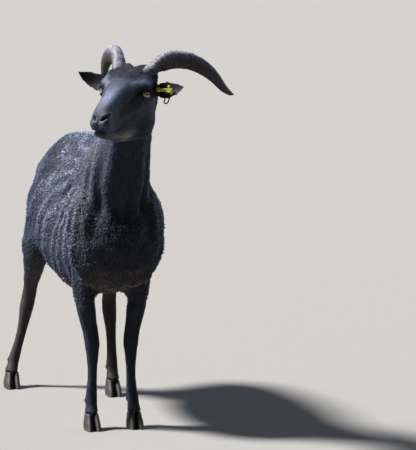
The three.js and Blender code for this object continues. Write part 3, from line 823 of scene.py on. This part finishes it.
# the blue: partly weathering, partly painted light and sheen on the sides and back, little on the breast
# and underside; less towards the rump and lower down, and painted shade in the hollow before the hip
open_to_light = smooth_step(facing[:, 2], -0.5, 0.4) * smooth_step(facing[:, 1], -0.85, -0.3)
above_belly = 0.4 + 0.6 * smooth_step(flank[:, 2], 330, 440)
darker_rump_and_hollow = 1 - 0.75 * smooth_step(flank[:, 1], 120, 225) * on_trunk
darker_rump_and_hollow *= 1 - 0.85 * body_patch((-72, 180, 552), (50, 85, 42))
blue = np.clip(on_trunk + on_neck, 0, 1) * (0.1 + 0.9 * open_to_light) * darker_rump_and_hollow * above_belly
edge_gap, behind_gap = (off_line(flank, line)[0] for line in (SHOULDER_EDGE, BEHIND_SHOULDER))
grizzle = 0.8 * patch((19, -38, -83), (16, 36, 13)) + 0.5 * patch((16, -84, -76), (12, 26, 8))
grizzle = np.clip(grizzle, 0, 1)
under = smooth_step(facing[:, 2], -0.45, -0.8) * on_trunk * smooth_step(flank[:, 2], 420, 385)
BROW = [(28, -29, 20), (37, -16, 27), (43, 2, 29), (49, 16, 27)]
BEFORE_EYE = [(37, -24, 13), (39, -23, 5), (35, -40, 0), (29, -60, -10)]
UNDER_BROW = [(43, -18, 15), (51, -8, 17), (54, 4, 16), (55, 17, 8)]

# each marking is laid over those before it: how much of it there is, and its colour
tone = np.tile(BLACK, (len(place), 1))
for share, colour in ((blue, WEATHERED_AND_SHEEN),
                      # painted highlight on the shoulder, where it is open to the light
                      (0.6 * body_patch((-80, -165, 505), (45, 75, 75)) * open_to_light, WEATHERED_AND_SHEEN * 1.6),
                      # painted highlight along the shoulder's front edge
                      (0.8 * np.exp(-(edge_gap / 10) ** 2) * open_to_light, WEATHERED_AND_SHEEN * 2),
                      # painted shade in the groove behind the shoulder
                      (0.75 * np.exp(-(behind_gap / 9) ** 2), HOLLOW_SHADE),
                      (0.4 * patch((0, -30, 26), (50, 40, 30)), WEATHERED_AND_SHEEN),
                      # painted highlights down the bridge of the nose and along the brows
                      (0.95 * patch((0, -86, 14), (19, 66, 24)), BRIDGE_SHEEN),
                      (0.7 * stroke(BROW, 7), BRIDGE_SHEEN),
                      # painted shade in the hollows before the eyes and under the brows
                      (0.8 * stroke(BEFORE_EYE, 6.5), HOLLOW_SHADE),
                      (0.8 * stroke(UNDER_BROW, 4.5), HOLLOW_SHADE),
                      (0.9 * patch((0, 26, 50), (48, 46, 30)), POLL_BROWN),
                      (grizzle, JAW_GREY),
                      (on_hind_legs * 0.7, RUST),
                      (0.5 * under, BELLY_TAN),
                      (0.75 * patch((9, -146, -34), (13, 14, 10)), MUZZLE_SHEEN),
                      (0.8 * bare, NOSE_SLATE),
                      # painted shade round the lids; the ears darker still, their own black with painted
                      # shade
                      (0.85 * lid_shade, HOLLOW_SHADE),
                      (0.9 * on_ear, HOLLOW_SHADE)):
    tone = mixed(tone, colour, share[:, None])

# ---------------------------------------------------------------- the skin's finish
# Dark, dry hide under the coat; on the nose, the lips and the rims of the lids it is bare, damp and
# pebbled. Under the wool it is painted darker, as painted shade, so that the gaps between the locks look
# deep.
SKIN_DRY, SKIN_WET = 0.62, 0.34
skin = placed("skin", hide)
hide.shade_smooth()
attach(skin, "root")
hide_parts(*FLESH)
bpy.context.view_layer.objects.active = skin
skin.select_set(True)
hide.uv_layers.new(name="OFBake")
bpy.ops.object.mode_set(mode="EDIT")
bpy.ops.mesh.select_all(action="SELECT")
bpy.ops.uv.smart_project(angle_limit=1.15, island_margin=0.002)
bpy.ops.object.mode_set(mode="OBJECT")
skin.select_set(False)

skin_material = painted_material("skin", roughness=0.55, fineness=0.0019, bump=0.0018,
                                 Specular_IOR_Level=0.3)
skin_nodes, skin_wires = skin_material.node_tree.nodes, skin_material.node_tree.links
marks = next(node for node in skin_nodes if node.bl_idname == "ShaderNodeAttribute")
damp = mapped(skin_nodes, skin_wires, marks.outputs["Alpha"], SKIN_DRY, SKIN_WET)
skin_wires.new(damp, skin_nodes["Principled BSDF"].inputs["Roughness"])
hide.materials.append(skin_material)
depth_shade = 1 - 0.55 * np.clip(on_trunk + on_neck, 0, 1)
paint(skin, tone * depth_shade[:, None], bare)

# ---------------------------------------------------------------- how the coat lies
# The hair of the face runs back from the nose and down the cheeks; the wool runs down the neck, and
# back and down over the body; the short hair of the legs, tail and ears runs towards their ends.
LIES = {"trunk": (0, 1, -0.7), "neck": (0, 0.35, -1), "tail": (0, 0.3, -1), "udder": (0, 1, -0.3),
        "leg": (0, 0.12, -1), "foot": (0, 0.12, -1)}
lies = []
for node in FLESH:
    part = node.split("_")[0]
    if part == "ear":
        reach = corners(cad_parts[node].data) - np.array(head_middle)
        size = np.linalg.norm(reach, axis=1)
        lies.append(unit(reach[size.argmax()] - reach[size.argmin()]))
    elif part == "head":
        lies.append(unit(np.array([0, 1, -0.35]) @ head_axes))
    else:
        lies.append(unit(np.array(LIES[part], float)))
lie = np.array(lies)[node_of]
on_face = (node_of == FLESH.index("head"))
fall = smooth_step(-spots[:, 2], 10, 80)[:, None] * 0.5 * on_face[:, None]
lie = lie + fall * np.array([0, 0, -1.0])
lie = eased(lie, links, 50)
lie = unit(lie - facing * (lie * facing).sum(1, keepdims=True))

leg_top = eased(np.array([1.0 if node.startswith("leg") else 0 for node in FLESH])[node_of], links, 8)
woolly = np.array([1.0 if node in ("trunk", "neck", "tail") else 0 for node in FLESH])[node_of]
woolly = np.maximum(woolly, leg_top * smooth_step(place[:, 2], 0.2, 0.36))
woolly = eased(woolly, links, 14)
hairy = (1 - woolly) * (1 - bare)

hide.calc_loop_triangles()
triangles = rows_of(hide.loop_triangles, "vertices", 3, np.int32)
triangle_loops = rows_of(hide.loop_triangles, "loops", 3, np.int32)
triangle_uv = rows_of(hide.uv_layers["OFBake"].data, "uv", 2)[triangle_loops]
spans = place[triangles]
areas = np.linalg.norm(np.cross(spans[:, 1] - spans[:, 0], spans[:, 2] - spans[:, 0]), axis=1) / 2


class Roots:
    """Roots strewn evenly over the skin where share is high, with what the skin is like there."""

    def __init__(self, share, count, seed):
        self.rng = np.random.default_rng(seed)
        weight = areas * share[triangles].mean(1)
        total = np.cumsum(weight) / weight.sum() * count + self.rng.random()
        self.picks = np.repeat(np.arange(len(weight)), np.diff(np.floor(np.r_[0, total])).astype(int))
        a, b = self.rng.random((2, len(self.picks)))
        over = a + b > 1
        a[over], b[over] = 1 - a[over], 1 - b[over]
        self.mix = np.stack([1 - a - b, a, b], 1)
        self.count = len(self.picks)
        self.place = self.read(place)
        self.normal = unit(self.read(facing))
        self.lie = unit(self.read(lie))
        self.tone = self.read(tone)
        self.uv = (triangle_uv[self.picks] * self.mix[..., None]).sum(1)

    def read(self, values):
        """Values of the skin's corners at the roots."""
        if values.ndim == 1:
            return (values[triangles[self.picks]] * self.mix).sum(1)
        return (values[triangles[self.picks]] * self.mix[..., None]).sum(1)

    def clumped(self, every, clump_turn, own_turn):
        """Gathers the roots into clumps. Returns the way to the middle of each root's clump, and the
        way that the root leans."""
        middles = self.place[self.rng.choice(self.count, max(1, self.count // every), replace=False)]
        tree = KDTree(len(middles))
        for i, middle in enumerate(middles):
            tree.insert(middle, i)
        tree.balance()
        self.clump = np.array([tree.find(spot)[1] for spot in self.place])
        self.clumps = len(middles)
        angle = self.rng.normal(0, clump_turn, self.clumps)[self.clump]
        angle = angle + self.rng.normal(0, own_turn, self.count)
        way = self.lie * np.cos(angle)[:, None] + np.cross(self.normal, self.lie) * np.sin(angle)[:, None]
        return middles[self.clump] - self.place, way

    def each(self, low, high):
        """A random value for each root."""
        return self.rng.uniform(low, high, self.count)

    def each_clump(self, low, high):
        """A random value for each clump, the same at all its roots."""
        return self.rng.uniform(low, high, self.clumps)[self.clump]


def tufts(name, roots, here, way, lift, length, width, colour, levels, finish, droop=0.35, curl=0.0):
    """Solid three-sided spikes as one mesh, each with its own patch of the skin's unwrap."""
    root, normal, way = roots.place[here], roots.normal[here], way[here]
    count, rings = len(root), len(levels)
    lift, length, width = (np.broadcast_to(v, roots.count)[here][:, None] for v in (lift, length, width))
    way = unit(way - normal * (way * normal).sum(1, keepdims=True))
    start = way * np.cos(lift) + normal * np.sin(lift)
    side = unit(np.cross(start, normal))
    flat = unit(np.cross(side, start))
    bend = -normal * np.sin(lift) * droop + side * roots.rng.normal(0, curl + 1e-9, count)[:, None]
    size = rings * 3 + 1
    points = np.empty((count, size, 3), np.float32)
    foot = root - normal * 0.0003
    for k, (t, girth) in enumerate(levels):
        middle = foot + length * (t * start + t * t * bend)
        for corner in range(3):
            turn = np.pi / 2 + corner * 2 * np.pi / 3
            out = np.cos(turn) * side + 0.7 * np.sin(turn) * flat
            points[:, k * 3 + corner] = middle + width / 2 * girth * out
    points[:, -1] = foot + length * (start + bend)
    faces = [(0, 2, 1)]
    for k in range(rings - 1):
        for i in range(3):
            a, b, c, d = k * 3 + i, k * 3 + (i + 1) % 3, k * 3 + 3 + (i + 1) % 3, k * 3 + 3 + i
            faces += [(a, b, c), (a, c, d)]
    last = rings * 3 - 3
    faces += [(last + i, last + (i + 1) % 3, size - 1) for i in range(3)]
    faces = np.array(faces)
    every = (faces[None] + np.arange(count)[:, None, None] * size).reshape(-1, 3)
    mesh = bpy.data.meshes.new(name)
    mesh.vertices.add(count * size)
    mesh.vertices.foreach_set("co", points.ravel())
    mesh.loops.add(every.size)
    mesh.loops.foreach_set("vertex_index", every.ravel().astype(np.int32))
    mesh.polygons.add(len(every))
    mesh.polygons.foreach_set("loop_start", np.arange(0, every.size, 3, dtype=np.int32))
    mesh.update(calc_edges=True)
    mesh.shade_smooth()
    up = np.r_[np.repeat([level[0] for level in levels], 3), 1] - 0.5
    across = np.r_[np.tile([-0.5, 0.5, 0], rings), 0]
    spread = np.stack([across, up], 1) * 0.003
    unwrap = (roots.uv[here][:, None, None] + spread[faces][None]).reshape(-1, 2)
    mesh.uv_layers.new(name="OFBake").data.foreach_set("uv", unwrap.astype(np.float32).ravel())
    made = placed(name, mesh)
    paint(made, np.repeat(colour[here], size, axis=0))
    mesh.materials.append(finish)
    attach(made, "root")
    return made


def coat_material(name, roughness, sheen, **sockets):
    """The finish of hair or wool: its own colour in each lock, with a cool bloom over it."""
    made = painted_material(name, roughness, 0.0015, 0.0001, **sockets)
    shader = made.node_tree.nodes["Principled BSDF"]
    shader.inputs["Sheen Weight"].default_value = sheen
    shader.inputs["Sheen Roughness"].default_value = 0.45
    shader.inputs["Sheen Tint"].default_value = (0.5, 0.6, 1.0, 1)
    return made


# ---------------------------------------------------------------- the wool
# A summer's growth of fine, crimped wool a finger's nail deep, over her body, neck and thighs. It
# stands in small locks that lean together, taller along the ridges between the shears' strokes.
WOOL_DEEP, WOOL_WIDE = 0.0042, 0.0022
LOCK_HALF, LOCK_APART = 0.0034, 0.004
COOL = (0.6, 0.77, 1, 1)
wool_finish = coat_material("wool", roughness=0.55, sheen=0.1, Specular_IOR_Level=0.2, Specular_Tint=COOL)
roots = Roots(woolly ** 1.2 * (1 + 1.2 * on_neck), count=97000, seed=11)
towards, way = roots.clumped(every=4, clump_turn=0.8, own_turn=0.5)
way = unit(way + towards / LOCK_APART * 0.8)
ridge = roots.read(shear_ridge)
inmost = np.clip(1 - np.linalg.norm(towards, axis=1) / LOCK_HALF, 0, 1)
tall = (0.45 + 0.95 * smooth_step(inmost, 0.0, 0.75)) * roots.each_clump(0.8, 1.2)
length = WOOL_DEEP * roots.each(0.8, 1.15) * tall
length *= (0.85 + 0.3 * ridge) * (0.45 + 0.55 * roots.read(woolly))
lift = roots.each_clump(0.7, 1.25) + roots.rng.normal(0, 0.18, roots.count)
throat = roots.read(on_neck)
length *= 1 - 0.4 * throat
lift -= 0.15 * throat
width = WOOL_WIDE * (1 - 0.3 * throat)
# painted shade darkens each lock towards its edge, painted light lifts its middle and the shears' ridges;
# the rest is a random tone in each lock and root
shade = (0.2 + 1.85 * smooth_step(inmost, 0.1, 0.8)) * roots.each_clump(0.6, 1.5)
shade *= roots.each(0.8, 1.25) * (0.6 + 0.8 * ridge)
colour = roots.tone * (1.15 * shade)[:, None]
grey = roots.rng.random(roots.count) < 0.03
colour[grey] = colour[grey] * 2.6
nearest_node = standing(roots.place)[1]
neck_here = nearest_node == FLESH.index("neck")
leg_here = ~np.isin(nearest_node, [FLESH.index("trunk"), FLESH.index("neck"), FLESH.index("tail")])
left_here = roots.place[:, 0] > spine_x / 1000
body_y = roots.place[:, 1]
areas_of_wool = {"left_neck": neck_here & left_here, "right_neck": neck_here & ~left_here, "legs": leg_here}
TRUNK_PARTS = (("shoulder", -1, -0.1), ("ribs", -0.1, 0.06), ("loin", 0.06, 0.2), ("rump", 0.2, 1))
for side, on_side in (("left", left_here), ("right", ~left_here)):
    for part, front, rear in TRUNK_PARTS:
        on_part = (body_y >= front) & (body_y < rear)
        areas_of_wool[f"{side}_{part}"] = on_side & ~neck_here & ~leg_here & on_part
for part, here in areas_of_wool.items():
    tufts(f"wool_{part}", roots, here, way, lift, length, width, colour, [(0, 0.85), (0.72, 1)],
          wool_finish, curl=0.3)

# ---------------------------------------------------------------- the short hair
# Fine, glossy hair that lies flat on the face, legs and feet, a little longer and grizzled along the
# jaw, and shorter, duller and closer still on the ears.
hair_finish = coat_material("short_hair", roughness=0.42, sheen=0.08, Specular_IOR_Level=0.32,
                            Specular_Tint=COOL)
dull_finish = coat_material("dull_hair", roughness=0.75, sheen=0.0, Specular_IOR_Level=0.1)
HAIR_WIDE, LEG_HAIR_WIDE, LEG_HAIR_LONG, LEG_HAIR_LIFT = 0.00055, 0.0008, 0.0042, 0.45
EARS_FROM = 52  # millimetres from the middle of the head
head_share = hairy * np.clip(on_head + on_ear, 0, 1)
roots = Roots(head_share, count=47000, seed=21)
towards, way = roots.clumped(every=8, clump_turn=0.2, own_turn=0.12)
way = unit(way + towards / 0.003 * 0.2)
where = in_head(roots.place)
length = 0.0024 + 0.0022 * smooth_step(where[:, 1], -130, -40)
jaw = roots.read(grizzle)
length += 0.003 * np.maximum(smooth_step(where[:, 2], -72, -92), jaw)
length *= roots.each(0.8, 1.2)
lift = 0.4 + 0.2 * roots.rng.random(roots.count) + 0.35 * jaw
shade = roots.each_clump(0.35, 1.9) * roots.each(0.7, 1.35)
shade = shade * (1 - jaw) + jaw * roots.each(0.03, 2.2) ** 1.5
colour = roots.tone * shade[:, None]
ear_here = np.abs(where[:, 0]) > EARS_FROM
SPIKE = [(0, 1)]
tufts("hair_face", roots, ~ear_here, way, lift, length, HAIR_WIDE, colour, SPIKE, hair_finish)
tufts("hair_ears", roots, ear_here, way, lift * 0.35, length * 0.6, HAIR_WIDE, colour, SPIKE,
      dull_finish)

legs_share = hairy * (1 - np.clip(on_head, 0, 1))
legs_share[np.isin(node_of, [FLESH.index(node) for node in ("head", *EARS)])] = 0
roots = Roots(legs_share, count=49000, seed=31)
towards, way = roots.clumped(every=14, clump_turn=0.12, own_turn=0.1)
length = LEG_HAIR_LONG * roots.each(0.75, 1.25)
colour = roots.tone * (roots.each_clump(0.7, 1.4) * roots.each(0.75, 1.3))[:, None]
for name, here in (("hair_fore_legs", roots.place[:, 1] < 0), ("hair_hind_legs", roots.place[:, 1] >= 0)):
    tufts(name, roots, here, way, LEG_HAIR_LIFT, length, LEG_HAIR_WIDE, colour, SPIKE,
          hair_finish)

# ---------------------------------------------------------------- the poll
# A cap of dull, fine hair, browner than the face, that whorls over the crown between the horns. It
# grows from the same hide, right up to the roots of the horns and a little way round them.
POLL_WIDE = 0.0007
poll = smooth_step((((half - (0, 26, 48)) / (54, 50, 36)) ** 2).sum(1), 1.35, 0.5) * on_head
for side in ("left", "right"):
    near_horn = off_line(spots, in_head(horn_lines[side][0][:HORN_COLLAR]))[0]
    poll = np.maximum(poll, smooth_step(near_horn, 33, 24) * (spots[:, 2] > 12))
roots = Roots(poll, count=34000, seed=41)
towards, way = roots.clumped(every=12, clump_turn=0.6, own_turn=0.3)
way = unit(way + towards / 0.003 * 0.5)
length = (0.0016 + 0.0024 * roots.read(poll)) * roots.each(0.7, 1.15)
colour = roots.tone * (roots.each_clump(0.5, 1.7) * roots.each(0.7, 1.4))[:, None]
lift = roots.each(0.35, 0.75)
everywhere = np.ones(roots.count, bool)
tufts("hair_poll", roots, everywhere, way, lift, length, POLL_WIDE, colour, SPIKE, dull_finish,
      curl=0.2)

# ---------------------------------------------------------------- the lashes
# Coarse black lashes in a few rows along the edges of the upper lids. They are grown like the
# hair, but stand out from the eyes and hang a little before they turn up.
LASH_LONG, LASH_WIDE, LASH_LIFT = 0.0085, 0.0005, 0.5
lash_share = np.zeros(len(place))
for side in (1, -1):
    along, over, far, before = in_lids(spots, side)
    share = lid_share(along, over)
    lash_share += (share > 1.1) * (share < 1.35) * (over > 1) * before * (far < 20)
roots = Roots(lash_share, count=420, seed=51)
middles = from_head(np.where(in_head(roots.place)[:, :1] > 0, EYE_MIDDLE, EYE_MIDDLE * [-1, 1, 1]))
way = unit(roots.place - middles) + np.array([0, 0, -0.25])
length = LASH_LONG * roots.each(0.7, 1.1)
colour = np.tile(BLACK * 0.4, (roots.count, 1))
everywhere = np.ones(roots.count, bool)
tufts("lashes", roots, everywhere, way, LASH_LIFT, length, LASH_WIDE, colour, [(0, 1), (0.5, 0.7)],
      hair_finish, droop=-0.2)

# ---------------------------------------------------------------- the eyes
# Wet globes of amber under a clear, bulging cornea, each with a wide dark pupil that lies level.
# They are smooth balls of their own, set deep between the lids.
PUPIL_LONG, PUPIL_HIGH, PUPIL_CURVE = 5.2, 2.0, 2.6
PUPIL_AT = (-0.5, 0.1)
BALL_ROUND = EYE_ROUND - 0.25  # a little room under the lids
CORNEA_HIGH, CORNEA_HALF = 1.1, np.radians(52)
AMBER = np.array([0.27, 0.18, 0.1])
AMBER_PALE = np.array([0.4, 0.3, 0.18])
AMBER_RIM = np.array([0.03, 0.014, 0.007])
SCLERA = np.array([0.035, 0.02, 0.016])
PUPIL_DARK = np.array([0.003, 0.004, 0.008])


def eyeball(side, name, seed):
    """One eyeball: rings of points round the way it looks, painted as iris, pupil and white."""
    rng = np.random.default_rng(seed)
    gaze, back, up = eye_axes(side)
    rings, spokes = 64, 96
    off = np.radians(np.linspace(0, 150, rings + 1)[1:])[:, None]
    round_it = np.linspace(0, 2 * np.pi, spokes, endpoint=False)[None]
    reach = BALL_ROUND + CORNEA_HIGH * np.clip(1 - (off / CORNEA_HALF) ** 2, 0, 1) ** 1.5
    along = off * EYE_ROUND * np.cos(round_it)
    over = off * EYE_ROUND * np.sin(round_it)
    out = np.sin(off) * reach
    points = gaze * (np.cos(off) * reach)[..., None]
    points = points + back * (out * np.cos(round_it))[..., None] + up * (out * np.sin(round_it))[..., None]
    front, rear = gaze * (BALL_ROUND + CORNEA_HIGH), -gaze * EYE_ROUND * 0.87
    points = np.vstack([front, points.reshape(-1, 3), rear]) + EYE_MIDDLE * [side, 1, 1]
    along = np.r_[0, along.ravel(), 30] - PUPIL_AT[0]
    over = np.r_[0, over.ravel(), 0] - PUPIL_AT[1]
    pupil = (np.abs(along) / PUPIL_LONG) ** PUPIL_CURVE + (np.abs(over) / PUPIL_HIGH) ** PUPIL_CURVE
    pupil = pupil ** (1 / PUPIL_CURVE)
    far = np.hypot(along / 1.15, over)
    angle = np.arctan2(over, along)
    waves = rng.uniform(0, 2 * np.pi, 9)
    fibres = sum(np.sin(angle * (17 + 9 * k) + waves[k] + 0.4 * far * np.sin(k)) for k in range(9)) / 9
    pale = smooth_step(pupil + 0.5 * fibres, 0.9, 1.9) * smooth_step(far, 10.5, 7)
    colour = mixed(AMBER * (1 + 0.55 * fibres[:, None]), AMBER_PALE, pale[:, None])
    colour = mixed(colour, AMBER_RIM, smooth_step(far, 7.8, 9.6)[:, None])
    colour = mixed(colour, SCLERA, smooth_step(far, 11, 12.4)[:, None])
    colour = mixed(colour, PUPIL_DARK, smooth_step(pupil, 1.09, 0.95)[:, None])
    faces = [(0, 1 + i, 1 + (i + 1) % spokes) for i in range(spokes)]
    faces += tube_faces(rings, spokes, 1)
    last = 1 + (rings - 1) * spokes
    faces += [(last + (i + 1) % spokes, last + i, len(points) - 1) for i in range(spokes)]
    if side < 0:
        faces = [face[::-1] for face in faces]
    made = mesh_object(name, from_head(points), faces)
    paint(made, np.clip(colour, 0, 1))
    made.data.materials.append(eye_material)
    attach(made, "root")
    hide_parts("eye_left" if side > 0 else "eye_right")


eye_material = painted_material("wet_eye", roughness=0.12, fineness=0.0006, bump=0.00001,
                                Coat_Weight=1.0, Coat_Roughness=0.03)
eyeball(1, "eyeball_left", seed=5)
eyeball(-1, "eyeball_right", seed=6)

# ---------------------------------------------------------------- the hooves
# Two claws of dark horn on each foot, grown down from the hair in close rings and worn pale and
# ragged where they meet the ground, with two small dewclaws behind the pastern.
HOOF_DARK = np.array([0.015, 0.013, 0.013])
HOOF_PALE = np.array([0.06, 0.05, 0.042])
HOOF_TAPER = 0.14
HOOF_RING = 0.0034  # from one growth ring to the next


def claw(node, voxel, ring_depth):
    """A hoof's claw with its growth rings, on the shape of its solid, drawn in towards the hair."""
    foot_low, foot_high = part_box("foot_" + node.rsplit("_", 2)[0])
    foot_middle = np.array((foot_low + foot_high) / 2)[:2]
    grown = melted(swollen(node, 0.0), voxel)
    grown.name = node + "_horn"
    made = placed(node + "_horn", grown)
    before = corners(grown)
    low, high = before.min(0), before.max(0)
    pairs = neighbours(grown)
    points = eased(before, pairs, 14, 0.5)
    facing = move_corners(grown, points)
    tall = high[2] - low[2]
    rise = (points[:, 2] - low[2]) / tall
    down = points[:, 2] + 0.25 * (points[:, 1] - low[1]) + 0.0006 * np.sin(points[:, 0] * 900)
    rings = np.sin(down / HOOF_RING * 2 * np.pi)
    steady = smooth_step(rise, 0.02, 0.2) * smooth_step(np.abs(facing[:, 2]), 0.8, 0.4)
    points += facing * (ring_depth * rings * steady)[:, None]
    points[:, 2] = np.maximum(points[:, 2], low[2])
    points[before[:, 2] < low[2] + 1e-4, 2] = low[2]
    points = np.clip(points, low - 0.0004, high + 0.0004)
    drawn = 1 - HOOF_TAPER * smooth_step(rise, 0.25, 1.0)
    points[:, :2] = foot_middle + (points[:, :2] - foot_middle) * drawn[:, None]
    points[:, 2] = np.maximum(points[:, 2], low[2])
    move_corners(grown, points)
    ragged = 0.6 + 0.4 * np.sin(points[:, :1] * 1400 + points[:, 1:2] * 900)
    wear = smooth_step(rise, 0.32, 0.0)[:, None] * ragged
    colour = mixed(HOOF_DARK * (1 + 0.35 * rings[:, None]), HOOF_PALE, wear)
    paint(made, np.clip(colour, 0, 1))
    grown.shade_smooth()
    grown.materials.append(hoof_material)
    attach(made, "root")
    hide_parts(node)


hoof_material = painted_material("hoof_horn", roughness=0.62, fineness=0.0018, bump=0.0003,
                                 Specular_IOR_Level=0.35)
for leg in LEGS:
    for half in ("left", "right"):
        claw(f"{leg}_claw_{half}", voxel=0.0014, ring_depth=0.00022)
        claw(f"{leg}_dewclaw_{half}", voxel=0.0009, ring_depth=0.0001)

# ---------------------------------------------------------------- the ear tags
# A worn yellow plastic strip pinned through the left ear, with a knob at one end, whose slot is a
# thin black plate of painted shade, and a block with a stub at the other, and a loop of black
# plastic cord round the ear's lower edge.
STRIP_AT, STRIP_LONG, STRIP_THICK, STRIP_TALL = (77, 35.5, 3.5), 34, 1.8, 8
LOOP_AT, LOOP_WIDE, LOOP_TALL, LOOP_CORD = (80, 41.5, -14.5), 9.5, 27, 1.425
LOOP_TURN, LOOP_LEAN = np.radians(40), np.radians(20)
LOOP_RINGS, LOOP_SIDES = 72, 14


def block(bm, size, at, edge):
    """A moulded block with rounded edges, in the head's frame."""
    made = bmesh.ops.create_cube(bm, size=1, matrix=Matrix.Translation(at) @ Matrix.Diagonal((*size, 1)))
    sides = list({side for corner in made["verts"] for side in corner.link_edges})
    bmesh.ops.bevel(bm, geom=sides, offset=edge, segments=3, profile=0.5, affect="EDGES")


def round_bar(bm, radius, start, end, edge, sides=32):
    """A moulded peg between two places, with a rounded end."""
    start, end = Vector(start), Vector(end)
    turn = (end - start).to_track_quat("Z", "Y").to_matrix().to_4x4()
    matrix = Matrix.Translation((start + end) / 2) @ turn
    made = bmesh.ops.create_cone(bm, cap_ends=True, segments=sides, radius1=radius, radius2=radius,
                                 depth=(end - start).length, matrix=matrix)
    lines = {line for corner in made["verts"] for line in corner.link_edges}
    rims = [line for line in lines if any(len(face.verts) > 4 for face in line.link_faces)]
    bmesh.ops.bevel(bm, geom=rims, offset=edge, segments=3, profile=0.5, affect="EDGES")


def moulding(bm, name):
    """The finished moulding as an object, brought from the head's frame to its place."""
    for corner in bm.verts:
        corner.co = from_head(corner.co)
    return placed(name, mesh_from(bm, name))


x, y, z = STRIP_AT
tag = bmesh.new()
# the strip with a raised rib along each edge
block(tag, (STRIP_LONG - 4, STRIP_THICK, STRIP_TALL * 0.86), (x, y, z), 0.5)
for up in (1, -1):
    rib_z = z + up * (STRIP_TALL * 0.43 - 0.65)
    block(tag, (STRIP_LONG - 8, STRIP_THICK + 0.5, 1.3), (x, y, rib_z), 0.3)
# the knob and its cap
knob_x = x - STRIP_LONG / 2 + 2
round_bar(tag, 5, (knob_x, y - 1.7, z), (knob_x, y + 1.7, z), 0.7)
round_bar(tag, 3.3, (knob_x, y - 2.3, z), (knob_x, y, z), 0.4)
# the block with its two ribs and the stub above it
block_x = x + STRIP_LONG / 2 - 5
block(tag, (10, 3.4, 10.5), (block_x, y, z), 0.7)
for up in (1, -1):
    block(tag, (7, 4.0, 1.2), (block_x, y, z + up * 2.4), 0.35)
block(tag, (5, 3.4, 7), (block_x - 2.5, y, z + 7.2), 0.7)
# the pin's head, the pin through the ear and the plate behind it
round_bar(tag, 3.4, (x - 9, y - 1.5, z), (x - 9, y, z), 0.5)
round_bar(tag, 1.7, (x - 9, y - 0.5, z), (x - 9, y + 16.5, z), 0.2)
block(tag, (15, 1.8, 9), (x - 9, y + 16, z), 0.6)
strip = moulding(tag, "tag_strip")

# the knob's slot: a thin black plate on its cap, as painted shade
cut = bmesh.new()
block(cut, (1.5, 0.6, 6.4), (knob_x, y - 2.35, z), 0.12)
slot_shade = moulding(cut, "tag_slot_shade")

round_end = LOOP_WIDE / 2
turns = np.arange(LOOP_RINGS)
angles = (turns + 0.5) / LOOP_RINGS * 2 * np.pi
straight = np.sign(np.sin(angles)) * (LOOP_TALL / 2 - round_end)
rim = np.stack([round_end * np.cos(angles), 0 * angles, round_end * np.sin(angles) + straight], 1)
rim = eased(rim, (np.r_[turns, turns], np.r_[(turns + 1) % LOOP_RINGS, (turns - 1) % LOOP_RINGS]), 6)
turned = np.array(Matrix.Rotation(LOOP_LEAN, 3, "Y") @ Matrix.Rotation(LOOP_TURN, 3, "Z"))
rim = rim @ turned.T + LOOP_AT
tangent = unit(np.roll(rim, -1, 0) - np.roll(rim, 1, 0))
plane = turned @ [0, 1, 0]
outward = np.cross(tangent, plane)[:, None]
sides = np.linspace(0, 2 * np.pi, LOOP_SIDES, endpoint=False)[None, :, None]
tube = rim[:, None] + LOOP_CORD * (np.cos(sides) * outward + np.sin(sides) * plane)
loop_faces = tube_faces(LOOP_RINGS, LOOP_SIDES, closed=True)
loop = mesh_object("tag_loop", from_head(tube.reshape(-1, 3)), loop_faces)

tag_yellow, nodes, wires, shader = material("tag_yellow", (0.62, 0.6, 0.05), 0.42)
stains = grain(nodes, wires, 260, 6)
dirt = nodes.new("ShaderNodeValToRGB")
dirt.color_ramp.elements[0].position = 0.3
dirt.color_ramp.elements[0].color = (0.26, 0.25, 0.04, 1)
dirt.color_ramp.elements[1].position = 0.55
dirt.color_ramp.elements[1].color = (0.42, 0.43, 0.04, 1)
wires.new(stains, dirt.inputs["Fac"])
wires.new(dirt.outputs["Color"], shader.inputs["Base Color"])
relief(nodes, wires, shader, stains, 0.0001, 1.0)

tag_black, nodes, wires, shader = material("tag_black", (0.012, 0.012, 0.014), 0.35)
gloss = mapped(nodes, wires, grain(nodes, wires, 900, 2), 0.25, 0.6)
wires.new(gloss, shader.inputs["Roughness"])

for piece, finish, slot in ((strip, tag_yellow, "tag_yellow"), (slot_shade, tag_black, "tag_yellow"),
                            (loop, tag_black, "tag_black")):
    piece.data.shade_smooth()
    piece.data.materials.append(finish)
    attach(piece, "root")
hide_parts("ear_tag_strip")
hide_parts("ear_tag_loop")
